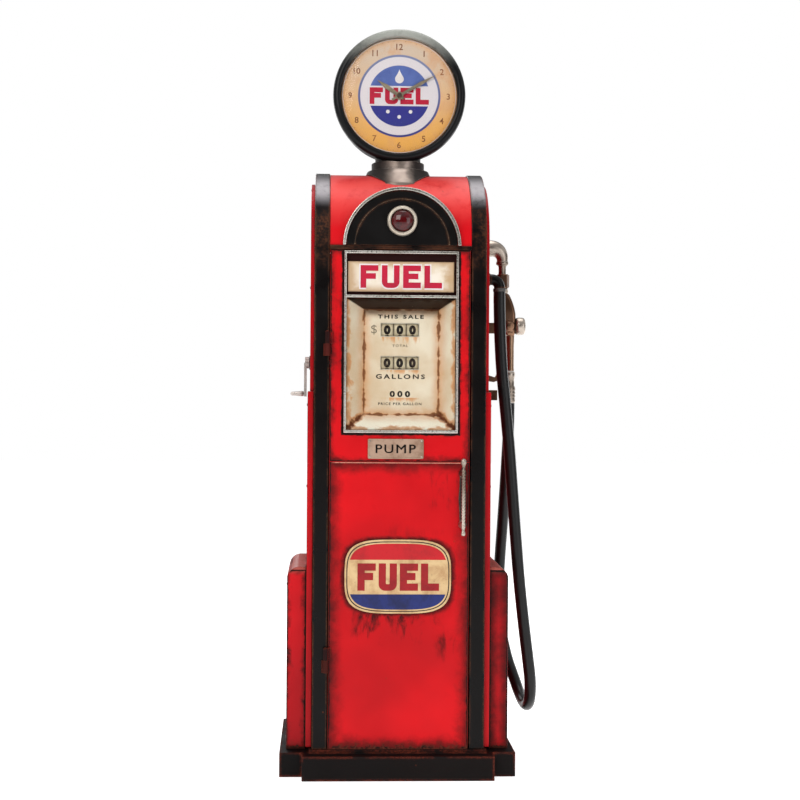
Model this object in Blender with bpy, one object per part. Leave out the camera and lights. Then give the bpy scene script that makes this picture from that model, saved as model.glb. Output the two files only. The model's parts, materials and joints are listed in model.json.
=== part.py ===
"""Vintage style gas pump. Lengths in the tables are millimetres, the scene is in metres.
X to the object's right, front faces -Y, +Z up, origin under the middle of the plinth."""

import math

import bmesh
import bpy
from mathutils import Matrix, Vector

GAP = 0.3  # left between neighbouring pieces
BODY_Y = 165.0  # half depth of the cabinet, and radius of its roof
ROOF_Z = 1188.0  # axis of the half round roof
FRAME_IN, FRAME_OUT = 157.0, 190.0  # black side frames, across
UPPER_X, LOWER_X, SKIRT_X = 199.0, 204.0, 247.0  # outer faces of the side panels and skirts
PLINTH_Z, DOOR_FOOT, DOOR_TOP = 54.0, 62.3, 1162.0
ARCH_X, ARCH_Z, ARCH_R = 2.0, 1170.0, 128.5  # arched panel above the door
GLOBE_Z = 1528.0
HINGE = (-160.5, -173.0)  # pin of the door
WHEEL_Y, SALE_Z, GALLONS_Z = -79.0, 988.5, 914.5  # number wheels
WHEEL_X = (-27.2, 1.2, 29.6)
BELT_Y, MOTOR_Z, PUMP_Z = 40.0, 390.0, 160.0
NOZZLE_Y, SPOUT_X, SPOUT_Z = 50.0, 252.0, 1191.0
ELBOW_Z = 1108.0
OUTLET = (231.5, -60.0, 1080.0)
FERRULE = (268.7, 50.0, 826.0)
HOSE_R = 13.5


def solid(name, corners, faces):
    """One closed body from corners in millimetres, its faces turned outwards."""
    mesh = bpy.data.meshes.new(name)
    mesh.from_pydata([(x / 1000, y / 1000, z / 1000) for x, y, z in corners], [], faces)
    work = bmesh.new()
    work.from_mesh(mesh)
    bmesh.ops.remove_doubles(work, verts=work.verts, dist=1e-7)
    bmesh.ops.recalc_face_normals(work, faces=work.faces)
    work.to_mesh(mesh)
    work.free()
    obj = bpy.data.objects.new(name, mesh)
    bpy.context.collection.objects.link(obj)
    return obj


def combine(operation, target, *others):
    """Applies a join, cut or overlap with each of the others, which are used up."""
    for other in others:
        other.hide_render = True
        modifier = target.modifiers.new(operation, "BOOLEAN")
        modifier.operation, modifier.solver, modifier.object = operation, "EXACT", other
    bpy.context.view_layer.update()
    graph = bpy.context.evaluated_depsgraph_get()
    mesh = bpy.data.meshes.new_from_object(target.evaluated_get(graph))
    target.modifiers.clear()
    target.data = mesh
    for other in others:
        bpy.data.objects.remove(other)
    return target


def join(target, *others):
    return combine("UNION", target, *others)


def cut(target, *others):
    return combine("DIFFERENCE", target, *others)


def placed(axis, across, up, along):
    """A point from two coordinates in the plane square to the axis, and one along it."""
    if axis == "x":
        return (along, across, up)
    if axis == "y":
        return (across, along, up)
    return (across, up, along)


def prism(name, outline, axis, low, high):
    count = len(outline)
    corners = [placed(axis, a, b, low) for a, b in outline] + [placed(axis, a, b, high) for a, b in outline]
    faces = [tuple(range(count)), tuple(range(2 * count - 1, count - 1, -1))]
    faces += [(i, (i + 1) % count, count + (i + 1) % count, count + i) for i in range(count)]
    return solid(name, corners, faces)


def block(name, x0, x1, y0, y1, z0, z1):
    return prism(name, [(x0, y0), (x1, y0), (x1, y1), (x0, y1)], "z", z0, z1)


def circle(radius, centre=(0, 0), steps=24, start=0.0, sweep=360.0):
    last = steps if sweep >= 360 else steps - 1
    turns = [math.radians(start + sweep * i / last) for i in range(steps)]
    return [(centre[0] + radius * math.cos(t), centre[1] + radius * math.sin(t)) for t in turns]


def rod(name, axis, centre, radius, low, high, steps=24):
    return prism(name, circle(radius, centre, steps), axis, low, high)


def turned(name, profile, axis, centre, steps=24):
    """Revolves (radius, along) points. A profile that starts and ends on the axis is a solid, any other a ring."""
    corners, faces = [], []
    turns = [2 * math.pi * i / steps for i in range(steps)]
    ring = profile[0][0] > 0
    for radius, along in profile:
        for t in turns:
            corners.append(
                placed(axis, centre[0] + radius * math.cos(t), centre[1] + radius * math.sin(t), along)
            )
    rows = len(profile)
    for row in range(rows if ring else rows - 1):
        after = (row + 1) % rows
        for i in range(steps):
            j = (i + 1) % steps
            quad = [row * steps + i, row * steps + j, after * steps + j, after * steps + i]
            if profile[row][0] == 0:
                quad = quad[1:]
            elif profile[after][0] == 0:
                quad = quad[:3]
            faces.append(tuple(quad))
    return solid(name, corners, faces)


def smooth_path(points, step):
    """A Catmull-Rom curve through the points, sampled about every step."""
    points = [Vector(p) for p in points]
    ends = [2 * points[0] - points[1]] + points + [2 * points[-1] - points[-2]]
    found = [points[0]]
    for a, b, c, d in zip(ends, ends[1:], ends[2:], ends[3:]):
        count = max(1, round((c - b).length / step))
        for i in range(1, count + 1):
            t = i / count
            found.append(
                0.5 * (2 * b + (c - a) * t + (2 * a - 5 * b + 4 * c - d) * t * t + (3 * b - a - 3 * c + d) * t**3)
            )
    return found


def rounded_path(points, radius, steps=6):
    """Straight runs with the corners between them rounded."""
    points = [Vector(p) for p in points]
    found = [points[0]]
    for before, corner, after in zip(points, points[1:], points[2:]):
        to_before, to_after = (before - corner).normalized(), (after - corner).normalized()
        half = to_before.angle(to_after) / 2
        reach = radius / math.tan(half)
        middle = corner + (to_before + to_after).normalized() * radius / math.sin(half)
        start, end = corner + to_before * reach - middle, corner + to_after * reach - middle
        sweep = start.angle(end)
        axis = start.cross(end)
        found += [middle + Matrix.Rotation(sweep * i / steps, 3, axis) @ start for i in range(steps + 1)]
    return found + [points[-1]]


def tube(name, path, radius, steps=12, end_radius=None):
    """A round bar along the path, tapering evenly to its end radius."""
    path = [Vector(p) for p in path]
    final = radius if end_radius is None else end_radius
    radii = [radius + (final - radius) * i / (len(path) - 1) for i in range(len(path))]
    ways = [(path[min(i + 1, len(path) - 1)] - path[max(i - 1, 0)]).normalized() for i in range(len(path))]
    side = ways[0].orthogonal().normalized()
    corners = []
    for at, way, r in zip(path, ways, radii):
        side = (side - way * side.dot(way)).normalized()
        other = way.cross(side)
        corners += [at + side * a + other * b for a, b in circle(r, steps=steps)]
    last = (len(path) - 1) * steps
    faces = []
    for start in range(0, last, steps):
        faces += [(start + i, start + (i + 1) % steps, start + steps + (i + 1) % steps, start + steps + i)
                  for i in range(steps)]
    faces += [tuple(range(steps)), tuple(range(last, last + steps))]
    return solid(name, corners, faces)


def cabinet_outline(inset, steps=24):
    """The side view of the cabinet: straight walls under a half circle."""
    reach = BODY_Y - inset
    return [(-reach, DOOR_FOOT + inset), (reach, DOOR_FOOT + inset)] + circle(reach, (0, ROOF_Z), steps, 0, 180)


def half_ring(name, outer, inner, foot, low, high, steps=24):
    """An arch on its side: half of a ring round the arch centre, its feet cut level."""
    points = circle(outer, (ARCH_X, ARCH_Z), steps, 0, 180) + circle(inner, (ARCH_X, ARCH_Z), steps, 180, -180)
    arch = prism(name, points, "y", low, high)
    return cut(arch, block("foot", -200, 200, low - 9, high + 9, ARCH_Z - 9, foot)) if foot > ARCH_Z else arch


def make_plinth():
    plinth = prism(
        "plinth",
        [(-211, -195), (211, -195), (211, -160), (261, -160), (261, 160), (211, 160)]
        + [(211, 195), (-211, 195), (-211, 160), (-261, 160), (-261, -160), (-211, -160)],
        "z",
        0,
        PLINTH_Z,
    )
    join(plinth, block("rail", -196, 196, -168, 168, PLINTH_Z - 5, DOOR_FOOT - GAP))
    cut(plinth, rod("pipe_hole", "z", (-40, 70), 25, -5, 80))


def make_frames():
    for name, low, high in (("left_frame", -FRAME_OUT, -FRAME_IN), ("right_frame", FRAME_IN, FRAME_OUT)):
        frame = prism(name, cabinet_outline(0), "x", low, high)
        cut(frame, prism("inside", cabinet_outline(26), "x", low - 9, high + 9))


def make_roof():
    """The curved sheet between the frames, with the hood that carries the arched panel."""
    skin = BODY_Y - 3
    side = circle(skin, (0, ROOF_Z), 28, 0, 180) + [(-skin, 1172.3), (3 - skin, 1172.3)]
    side += circle(skin - 3, (0, ROOF_Z), 28, 180, -180)
    roof = prism("roof_shell", side, "x", -FRAME_IN + GAP, FRAME_IN - GAP)
    hood = half_ring("hood", ARCH_R, ARCH_R - 5, 1189, -166, -40)
    inner = prism("inner", circle(skin - 1.5, (0, ROOF_Z), 28), "x", -200, 200)
    join(roof, cut(hood, inner))
    cut(roof, rod("wire_hole", "z", (0, 0), 16, 1300, 1400, 16))


def make_arch():
    reach = ARCH_R - 6
    outline = circle(reach, (ARCH_X, ARCH_Z), 28, 0, 180)
    panel = prism("arch_panel", [(ARCH_X - reach, 1172.3)] + outline[1:-1][::-1] + [(ARCH_X + reach, 1172.3)], "y", -170, -166.3)
    bead = half_ring("bead", 106, 102, 1175, -172, -168)
    join(panel, bead)
    cut(panel, rod("lamp_hole", "y", (ARCH_X, 1226), 25.5, -180, -150))
    half_ring("arch_trim", ARCH_R + 2, ARCH_R - 5, 1172.3, -175, -166.3, 32)
    turned("lamp_bezel", [(25, -172.3), (25, -177), (28, -180), (32, -178), (33.5, -172.3)], "y", (ARCH_X, 1226))
    dome = [(0, -186), (9, -185), (17, -182), (22, -178), (24.6, -173), (24.6, -163), (0, -163)]
    turned("lamp_lens", dome, "y", (ARCH_X, 1226), 24)
    block("header_band", -FRAME_IN + GAP, FRAME_IN - GAP, -168, -150, DOOR_TOP + 1, 1172)


def make_sides():
    block("rear_panel", -FRAME_IN + GAP, FRAME_IN - GAP, 158, 163, DOOR_FOOT, ROOF_Z - 0.5)
    top = circle(140, (0, ROOF_Z), 28, 0, 180)
    for side, name in ((-1, "left"), (1, "right")):
        near, upper, lower, skirt = (side * x for x in (FRAME_OUT + GAP, UPPER_X, LOWER_X, SKIRT_X))
        low, high = sorted((near, upper))
        panel = prism(name + "_upper_side", [(-140, 850.3), (140, 850.3)] + top, "x", low, high)
        hollow = prism("hollow", [(-132, 862), (132, 862)] + circle(132, (0, ROOF_Z), 28, 0, 180), "x",
                       *sorted((side * 180, side * (UPPER_X - 3))))
        cut(panel, hollow)
        if side < 0:
            cut(panel, rod("crank_hole", "x", (WHEEL_Y, GALLONS_Z), 8, -230, -150))
        else:
            cut(panel, rod("outlet_hole", "x", (OUTLET[1], ELBOW_Z), 16, 150, 230))
            cut(panel, rod("spout_hole", "x", (NOZZLE_Y, SPOUT_Z), 24.5, 150, 230))
        low, high = sorted((near, lower))
        panel = block(name + "_lower_side", low, high, -148, 148, DOOR_FOOT, 850)
        cut(panel, block("hollow", *sorted((side * 180, side * (LOWER_X - 3))), -140, 140, 74, 838))
        outline = [(lower + side * GAP, PLINTH_Z + GAP), (skirt, PLINTH_Z + GAP), (skirt, 438), (skirt - side * 3, 446),
                   (skirt - side * 9, 453), (skirt - side * 17, 458), (skirt - side * 25, 459.5), (lower + side * GAP, 459.5)]
        box = prism(name + "_skirt", outline, "y", -130, 130)
        inner = [(lower - side * 9, PLINTH_Z + 4), (skirt - side * 3, PLINTH_Z + 4), (skirt - side * 3, 437),
                 (skirt - side * 17, 454.5), (skirt - side * 25, 456), (lower - side * 9, 456)]
        cut(box, prism("hollow", inner, "y", -127, 127))


def make_globe():
    cone = turned("globe_collar", [(0, 1300), (104, 1300), (100, 1322), (74, 1352), (71, 1359), (61, 1361), (61, 1378),
                                   (52.5, 1381), (52.5, 1396), (0, 1396)], "z", (0, 0), 30)
    wings = [(-33, 1280), (33, 1280), (33, 1324), (75, 1352), (75, 1410), (-75, 1410), (-75, 1352), (-33, 1324)]
    combine("INTERSECT", cone, prism("wings", wings, "y", -150, 150))
    cut(cone, prism("roof", circle(BODY_Y - 2.6, (0, ROOF_Z), 54), "x", -200, 200))
    cut(cone, prism("wire_hole", circle(14, (0, 0), 16, 7), "z", 1290, 1420))
    seat = [(0, -90), (152.4, -90), (152.4, -40), (148.6, -34.6), (141.4, 42.4), (138, 70), (0, 70)]
    cut(cone, turned("globe_seat", seat, "y", (0, GLOBE_Z), 60))
    case = [(0, 58), (122, 56), (133, 44), (141, -36), (143.6, -37), (143.6, -44), (132.6, -44), (132.6, -56), (136.6, -61),
            (142.6, -62), (148.7, -59), (151.8, -50), (151.8, -40), (148, -35), (140.8, 42), (137, 54), (126, 60), (0, 62)]
    turned("globe_case", case, "y", (0, GLOBE_Z), 40)
    dial = turned("clock_dial", [(0, -46), (130.6, -46), (130.6, -43.7), (142.6, -43.7), (142.6, -40), (0, -40)], "y", (0, GLOBE_Z), 32)
    cut(dial, rod("arbor_hole", "y", (0, GLOBE_Z), 6, -60, -30, 16))
    glass = [(0, -63), (50, -62), (95, -59.5), (130.6, -55), (130.6, -53), (95, -57.5), (50, -60), (0, -61)]
    turned("clock_glass", glass, "y", (0, GLOBE_Z), 32)
    movement = block("clock_movement", -45, 45, -39.7, -5, GLOBE_Z - 45, GLOBE_Z + 45)
    join(movement, rod("arbor", "y", (0, GLOBE_Z), 3, -55, -30, 12))
    join(movement, block("bridge", -12, 12, -10, 57.7, GLOBE_Z - 12, GLOBE_Z + 12))
    hand("hour_hand", 305, 62, 10, -49.3, -47.3, 7)
    hand("minute_hand", 60, 96, 8, -51.7, -49.7, 9)


def hand(name, turn, length, width, front, back, hub):
    """A tapered clock hand, turned clockwise from twelve as the front shows it."""
    blade = [(-width * 0.3, -length * 0.2), (width * 0.3, -length * 0.2), (width / 2, length * 0.6), (0, length),
             (-width / 2, length * 0.6)]
    angle = math.radians(-turn)
    outline = [(x * math.cos(angle) - z * math.sin(angle), GLOBE_Z + x * math.sin(angle) + z * math.cos(angle))
               for x, z in blade]
    made = prism(name, outline, "y", front, back)
    join(made, rod("hub", "y", (0, GLOBE_Z), hub, front - 0.2, back, 16))
    cut(made, rod("bore", "y", (0, GLOBE_Z), 3.4, -90, 0, 12))


def make_door():
    left, right = -155.0, 154.0
    door = block("door_sheet", left, right, -BODY_Y, -147, DOOR_FOOT + GAP, DOOR_TOP)
    cut(door, block("hollow", left + 3, right - 3, -162, -140, DOOR_FOOT + 3.5, DOOR_TOP - 3))
    join(door, block("sign_back", -123, 127, -163, -153, 1057, 1157))
    cut(door, block("sign_pocket", -119.5, 122.5, -175, -157, 1062, 1154))
    cut(door, block("window_hole", -119.5, 122.5, -175, -130, 764, 1057.5))
    cut(door, block("seam", -200, 200, -175, -164, 694, 695.6))
    for middle, name in ((955, "upper"), (259, "lower")):
        knuckle = rod("knuckle", "z", HINGE, 5.6, middle + 0.3, middle + 27, 16)
        join(knuckle, block("leaf", -156.5, -149.5, -171, -164, middle + 0.3, middle + 27))
        cut(knuckle, rod("bore", "z", HINGE, 3.5, middle - 30, middle + 30, 12))
        join(door, knuckle)
        hinge = rod("door_hinge_" + name, "z", HINGE, 5.6, middle - 27, middle - 0.3, 16)
        join(hinge, block("leaf", -169.5, -161, -171, -165.3, middle - 27, middle - 0.3))
        join(hinge, rod("pin", "z", HINGE, 3, middle - 10, middle + 28.5, 12))
    frame = block("window_frame", -124.5, 127.5, -171, -165.3, 759, 1160)
    cut(frame, block("lower_opening", -119.5, 122.5, -180, -160, 765, 1057))
    cut(frame, block("upper_opening", -119.5, 122.5, -180, -160, 1062.5, 1154))
    block("window_glass", -119, 122, -164.5, -161.5, 764.5, 1057)
    block("sign_panel", -117, 118, -163, -157.3, 1070, 1137)
    plate = prism("name_plate", [(-70.5, 704), (-68.5, 702), (50.5, 702), (52.5, 704), (52.5, 744), (50.5, 746),
                                 (-68.5, 746), (-70.5, 744)], "y", -168, -165.3)
    cut(plate, block("field", -67, 49, -175, -167, 705.5, 742.5))
    make_badge()
    make_handle()


def oval(wide, tall, steps=40, power=3.6):
    found = []
    for i in range(steps):
        t = 2 * math.pi * i / steps
        c, s = math.cos(t), math.sin(t)
        found.append((-2.5 + math.copysign(abs(c) ** (2 / power), c) * wide / 2,
                      443 + math.copysign(abs(s) ** (2 / power), s) * tall / 2))
    return found


def make_badge():
    badge = prism("badge_plate", oval(235, 163), "y", -168.5, -165.3)
    groove = prism("groove", oval(225, 153), "y", -175, -167.8)
    cut(groove, prism("inside", oval(219, 147), "y", -180, -160))
    cut(badge, groove)


def make_handle():
    bar = rod("door_handle", "z", (139, -188), 5, 534, 696, 12)
    join(bar, turned("ball", [(0, 690), (5, 691), (7, 696), (5, 702), (0, 704)], "z", (139, -188), 12))
    for height in (671, 558):
        join(bar, rod("post", "y", (139, height), 4, -190, -167, 12))
        join(bar, turned("boss", [(0, -172), (6, -172), (9, -168), (9, -166), (0, -166)], "y", (139, height), 16))
    join(bar, block("plate", 131, 147, -168, -165.3, 543, 687))


def make_display():
    """The cream tray behind the window, its floor being the dial plate over the number wheels."""
    front, back = (-117.5, 120.5, 767, 1054.5), (-79, 88, 799, 1033.5)

    def funnel(name, grow, near, far):
        rows = []
        for (x0, x1, z0, z1), y in ((front, near), (back, far)):
            x0, x1, z0, z1 = x0 - grow, x1 + grow, z0 - grow, z1 + grow
            rows += [(x0, y, z0), (x1, y, z0), (x1, y, z1), (x0, y, z1)]
        return solid(name, rows, [(0, 1, 2, 3), (7, 6, 5, 4), (0, 4, 5, 1), (1, 5, 6, 2), (2, 6, 7, 3), (3, 7, 4, 0)])

    mask = funnel("display_mask", 1.5, -158, -115)
    cut(mask, funnel("inside", -0.5, -161, -117))
    for level in (SALE_Z, GALLONS_Z):
        cut(mask, block("window", WHEEL_X[0] - 13.6, WHEEL_X[2] + 13.6, -130, -100, level - 14, level + 14))
    frame = block("register_frame", -66, 78, -112, -22, 805, 1040)
    cut(frame, block("hollow", -60, 72, -130, -28, 795, 1050))
    join(frame, block("arm", -30, 30, -24, 157.7, 1030, 1036))
    for level in (SALE_Z, GALLONS_Z):
        join(frame, rod("axle", "x", (WHEEL_Y, level), 4, -63, 75, 12))
    for row, level in (("sale", SALE_Z), ("gallons", GALLONS_Z)):
        for place, x in zip(("tens", "units", "tenths"), WHEEL_X):
            ring = [(4.5, x - 13.6), (35.5, x - 13.6), (35.5, x + 13.6), (4.5, x + 13.6)]
            turned(row + "_wheel_" + place, ring, "x", (WHEEL_Y, level), 20)


def make_crank():
    at = (WHEEL_Y, GALLONS_Z)
    turned("crank_boss", [(7, -UPPER_X - GAP), (16, -UPPER_X - GAP), (16, -200.8), (14.5, -201.7), (7, -201.7)], "x", at, 20)
    crank = rod("reset_crank", "x", at, 13, -211, -202, 20)
    join(crank, rod("shaft", "x", at, 5.5, -209, -75, 12))
    join(crank, prism("arm", [(at[0] - 8, at[1]), (at[0] - 6, 838), (at[0] + 6, 838), (at[0] + 8, at[1])], "x", -213, -207))
    join(crank, rod("pin", "x", (at[0], 844.5), 2.6, -243, -209, 12))
    grip = [(3.1, -213.4), (5.5, -213.4), (6, -222), (4.6, -236), (4.2, -241.5), (3.1, -241.5)]
    turned("crank_grip", grip, "x", (at[0], 844.5), 16)


def make_outlet():
    elbow = turned("hose_outlet", [(0, 199.3), (20, 199.3), (20, 204), (14.5, 205), (14.5, 210), (0, 210)], "x",
                   (OUTLET[1], ELBOW_Z), 20)
    bend = rounded_path([(205, -60, ELBOW_Z), (OUTLET[0], -60, ELBOW_Z), OUTLET], 18)
    join(elbow, tube("bend", bend, 12.5, 16))
    join(elbow, rod("collar", "z", (OUTLET[0], -60), 14.6, 1080.3, 1088, 16))
    turned("spout_socket", [(0, 143), (20.8, 143), (20.8, 202), (29, 202), (29, 199.3), (24, 199.3),
                                     (24, 140), (0, 140)], "x", (NOZZLE_Y, SPOUT_Z), 24)
    hanger = block("nozzle_hanger", 204.4, 208, 34, 66, 826, 1024)
    join(hanger, block("foot", 199.3, 206, 36, 64, 986, 1022))
    join(hanger, block("arm", 206, 246.9, 43, 57, 990, 1015))
    join(hanger, block("tab", 206, 241, 40, 60, 832, 856))
    join(hanger, block("lug", 206, 219, 37, 41.5, 873, 899), block("lug", 206, 219, 58.5, 63, 873, 899))
    join(hanger, rod("pin", "y", (214, 886), 2.5, 40, 60, 12))
    lever = prism("hook_lever", [(210.4, 882), (213, 878), (233, 875), (241, 878), (245, 892), (241, 895), (236, 886), (214, 893), (210.4, 890)],
                  "y", 42.5, 57.5)
    cut(lever, rod("bore", "y", (214, 886), 3, 30, 70, 12))


def make_nozzle():
    path = rounded_path([(206, NOZZLE_Y, SPOUT_Z), (SPOUT_X, NOZZLE_Y, SPOUT_Z), (SPOUT_X, NOZZLE_Y, 1156)], 26, 8)
    spout = tube("nozzle_spout", path, 19.8, 20, 13)
    join(spout, turned("tip", [(0, 165), (14, 165), (17, 172), (17, 205), (19.5, 206), (20, 214), (0, 214)], "x",
                       (NOZZLE_Y, SPOUT_Z), 20))
    join(spout, turned("neck", [(0, 1130.3), (9.5, 1130.3), (9.5, 1151), (14.8, 1153), (14.8, 1160), (0, 1160)], "z",
                       (SPOUT_X, NOZZLE_Y), 20))
    body = prism("nozzle_body", circle(16, (SPOUT_X + 1.5, NOZZLE_Y), 6), "z", 1098, 1130)
    join(body, turned("ring", [(0, 1084), (11, 1084), (13.5, 1087), (13.5, 1093), (11, 1100), (0, 1100)], "z",
                      (SPOUT_X + 1, NOZZLE_Y), 16))
    shell = prism("shell", [(241, 1086), (240, 1034), (251, 1008), (261, 984), (281, 984), (283, 1004), (284, 1036), (279, 1060),
                            (267, 1086)], "y", 37, 63)
    join(body, shell)
    join(body, turned("port", [(0, 26), (9, 26), (12, 29), (12, 34), (15, 36), (15, 40), (0, 40)], "y", (267, 1007), 18))
    join(body, turned("knob", [(0, 274), (10, 274), (11, 282), (18, 285), (20.5, 290), (20.8, 300), (19, 305), (15, 307), (0, 307)],
                      "x", (NOZZLE_Y, 1007.5), 20))
    join(body, rod("handle_tube", "z", (272.3, NOZZLE_Y), 9.3, 901.3, 996, 16))
    join(body, block("lug", 262, 265.5, 60, 76, 1026, 1042), block("lug", 274.5, 278, 60, 76, 1026, 1042))
    join(body, rod("pin", "x", (70, 1034), 2.5, 264, 276, 12))
    lever = prism("nozzle_lever", [(65, 1035), (70, 1029), (84, 989), (90, 919), (94, 919), (91, 992), (76, 1039), (70, 1040)],
                  "x", 266.5, 273.5)
    cut(lever, rod("bore", "x", (70, 1034), 3, 250, 285, 12))
    x, y, z = FERRULE
    turned("hose_ferrule", [(0, z + GAP), (14, z + GAP), (15, z + 5), (15, 863), (12.5, 867), (12.5, 885), (14, 887), (14, 898),
                            (11, 901), (0, 901)], "z", (270, y), 20)


def make_hose():
    """The hose, a round bar swept along a smooth line through its route."""
    front = [(231.5, -60, 1079.7), (231.5, -60, 1066), (231.8, -60, 1045), (234.2, -60, 970), (239, -60, 895), (246.6, -60, 822),
             (256.4, -60, 722), (265, -60, 617), (273.2, -60, 513), (282.3, -60, 410), (294, -60, 307), (302.7, -60, 239),
             (308.3, -58, 190)]
    bottom = [(309.5, -44, 150), (309, -10, 126), (306, 30, 124), (301, 66, 138), (291, 92, 170)]
    rear = [(278, 114, 212), (267, 136, 270), (261.5, 148.5, 335), (261, 152, 380), (263.8, 146, 455), (267, 133, 529),
            (269, 113, 603), (269.5, 84, 677), (269.8, 62, 735), (270, 52.5, 775), (270, 50, 800), (270, 50, 825.7)]
    route = front + bottom + rear
    line = bpy.data.curves.new("hose", "CURVE")
    line.dimensions, line.fill_mode, line.use_fill_caps = "3D", "FULL", True
    line.bevel_depth, line.bevel_resolution = HOSE_R / 1000, 2
    path = smooth_path(route, 40)
    spline = line.splines.new("POLY")
    spline.points.add(len(path) - 1)
    for point, at in zip(spline.points, path):
        point.co = (at.x / 1000, at.y / 1000, at.z / 1000, 1)
    bpy.context.collection.objects.link(bpy.data.objects.new("hose", line))


def belt_loop(grow, steps=14):
    """The outline round both pulleys, the smaller one on top."""
    small, large = 28 + grow, 74 + grow
    lean = math.asin((large - small) / (MOTOR_Z - PUMP_Z))
    top = [math.pi * i / steps for i in range(steps + 1)]
    upper = [lean + t * (math.pi - 2 * lean) / math.pi for t in top]
    lower = [math.pi - lean + t * (math.pi + 2 * lean) / math.pi for t in top]
    return [(BELT_Y + small * math.cos(t), MOTOR_Z + small * math.sin(t)) for t in upper] + [
        (BELT_Y + large * math.cos(t), PUMP_Z + large * math.sin(t)) for t in lower]


def pulley(name, radius, level, shaft_end):
    """A grooved wheel with the stub shaft that drives it."""
    made = turned(name, [(0, -126), (14, -126), (14, -121), (radius + 5, -121), (radius + 5, -118), (radius, -117),
                         (radius, -107), (radius + 5, -106), (radius + 5, -103), (14, -103), (10, -103),
                         (10, shaft_end), (0, shaft_end)], "x", (BELT_Y, level), 24)
    cut(made, *[rod("hole", "x", (BELT_Y + radius * 0.55 * math.cos(t), level + radius * 0.55 * math.sin(t)), radius * 0.16,
                    -140, -100.5, 8) for t in (0.5, 2.6, 4.7)])


def make_machinery():
    pulley("motor_pulley", 28, MOTOR_Z, -88.3)
    pulley("pump_pulley", 74, PUMP_Z, -88.3)
    belt = prism("drive_belt", belt_loop(7.6), "x", -115.5, -108.5)
    cut(belt, prism("inside", belt_loop(1.4), "x", -130, -90))
    motor = turned("motor", [(0, -88), (30, -88), (70, -80), (75, -70), (75, 84), (70, 94), (30, 100), (0, 100)], "x",
                   (BELT_Y, MOTOR_Z), 24)
    join(motor, block("shelf", -70, 84, 20, 157.7, 304, 322), block("terminal_box", -20, 40, -20, 20, 440, 482))
    pump = turned("pump_unit", [(0, -88), (24, -88), (26, -72), (62, -68), (66, -60), (66, 20), (60, 28), (0, 28)], "x",
                  (BELT_Y, PUMP_Z), 24)
    join(pump, block("foot", -60, 20, -25, 105, DOOR_FOOT + GAP, 110))
    join(pump, turned("air_chamber", [(0, 75), (38, 75), (44, 84), (44, 210), (38, 228), (20, 238), (0, 240)], "z", (78, 30), 20))
    join(pump, rod("bridge", "x", (34, 150), 18, 10, 60, 12))
    join(pump, rod("suction", "z", (-40, 70), 19, 2, 90, 16))
    riser = rounded_path([(78, 0, 180), (78, -70, 180), (78, -70, 470), (20, -70, 470), (20, -70, 509.7)], 16, 4)
    join(pump, tube("riser", riser, 12, 8))
    meter = turned("meter", [(0, 510), (58, 510), (74, 516), (74, 528), (64, 532), (64, 590), (74, 594), (74, 606), (56, 618),
                             (24, 628), (24, 640), (0, 640)], "z", (0, -30), 24)
    join(meter, block("bracket", -40, 40, 20, 157.7, 530, 548), block("inlet", 5, 35, -85, -50, 510, 528))
    join(meter, rod("outlet", "x", (-30, 560), 17, 50, 90, 16))
    shaft = rod("meter_shaft", "z", (0, -45), 5, 640.3, 780, 12)
    join(shaft, turned("gear", [(0, 768), (22, 768), (22, 776), (12, 781), (0, 781)], "z", (0, -45), 20))
    pipe = rounded_path([(90.3, -30, 560), (128, -30, 560), (128, -60, 640), (128, -60, ELBOW_Z), (198.9, -60, ELBOW_Z)], 20, 4)
    tube("delivery_pipe", pipe, 12, 10)


COATS = {  # colour, roughness and metallic value, and the pieces that wear it
    "red_paint": ((0.62, 0.015, 0.025), 0.3, 0.0, "roof_shell rear_panel left_upper_side right_upper_side left_lower_side "
                  "right_lower_side left_skirt right_skirt door_sheet door_hinge_upper door_hinge_lower"),
    "black_enamel": ((0.012, 0.012, 0.014), 0.25, 0.0, "plinth left_frame right_frame arch_panel header_band globe_case "
                     "hose_outlet hour_hand minute_hand"),
    "chrome_trim": ((0.72, 0.7, 0.64), 0.25, 1.0, "arch_trim window_frame"),
    "bright_steel": ((0.62, 0.6, 0.56), 0.35, 1.0, "spout_socket nozzle_spout door_handle hose_ferrule lamp_bezel"),
    "aged_brass": ((0.42, 0.27, 0.18), 0.4, 1.0, "nozzle_body nozzle_lever nozzle_hanger hook_lever globe_collar"),
    "cream_enamel": ((0.78, 0.66, 0.48), 0.45, 0.0, "sign_panel display_mask name_plate badge_plate clock_dial "
                     "sale_wheel_tens sale_wheel_units sale_wheel_tenths gallons_wheel_tens gallons_wheel_units "
                     "gallons_wheel_tenths"),
    "glass": ((0.9, 0.95, 0.95), 0.05, 0.0, "clock_glass window_glass"),
    "lamp_red": ((0.3, 0.01, 0.01), 0.1, 0.0, "lamp_lens"),
    "rubber": ((0.02, 0.02, 0.021), 0.5, 0.0, "hose drive_belt"),
    "machine_iron": ((0.16, 0.17, 0.17), 0.6, 0.8, "crank_boss reset_crank crank_grip motor motor_pulley pump_pulley "
                     "pump_unit meter meter_shaft delivery_pipe register_frame clock_movement"),
}


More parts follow.
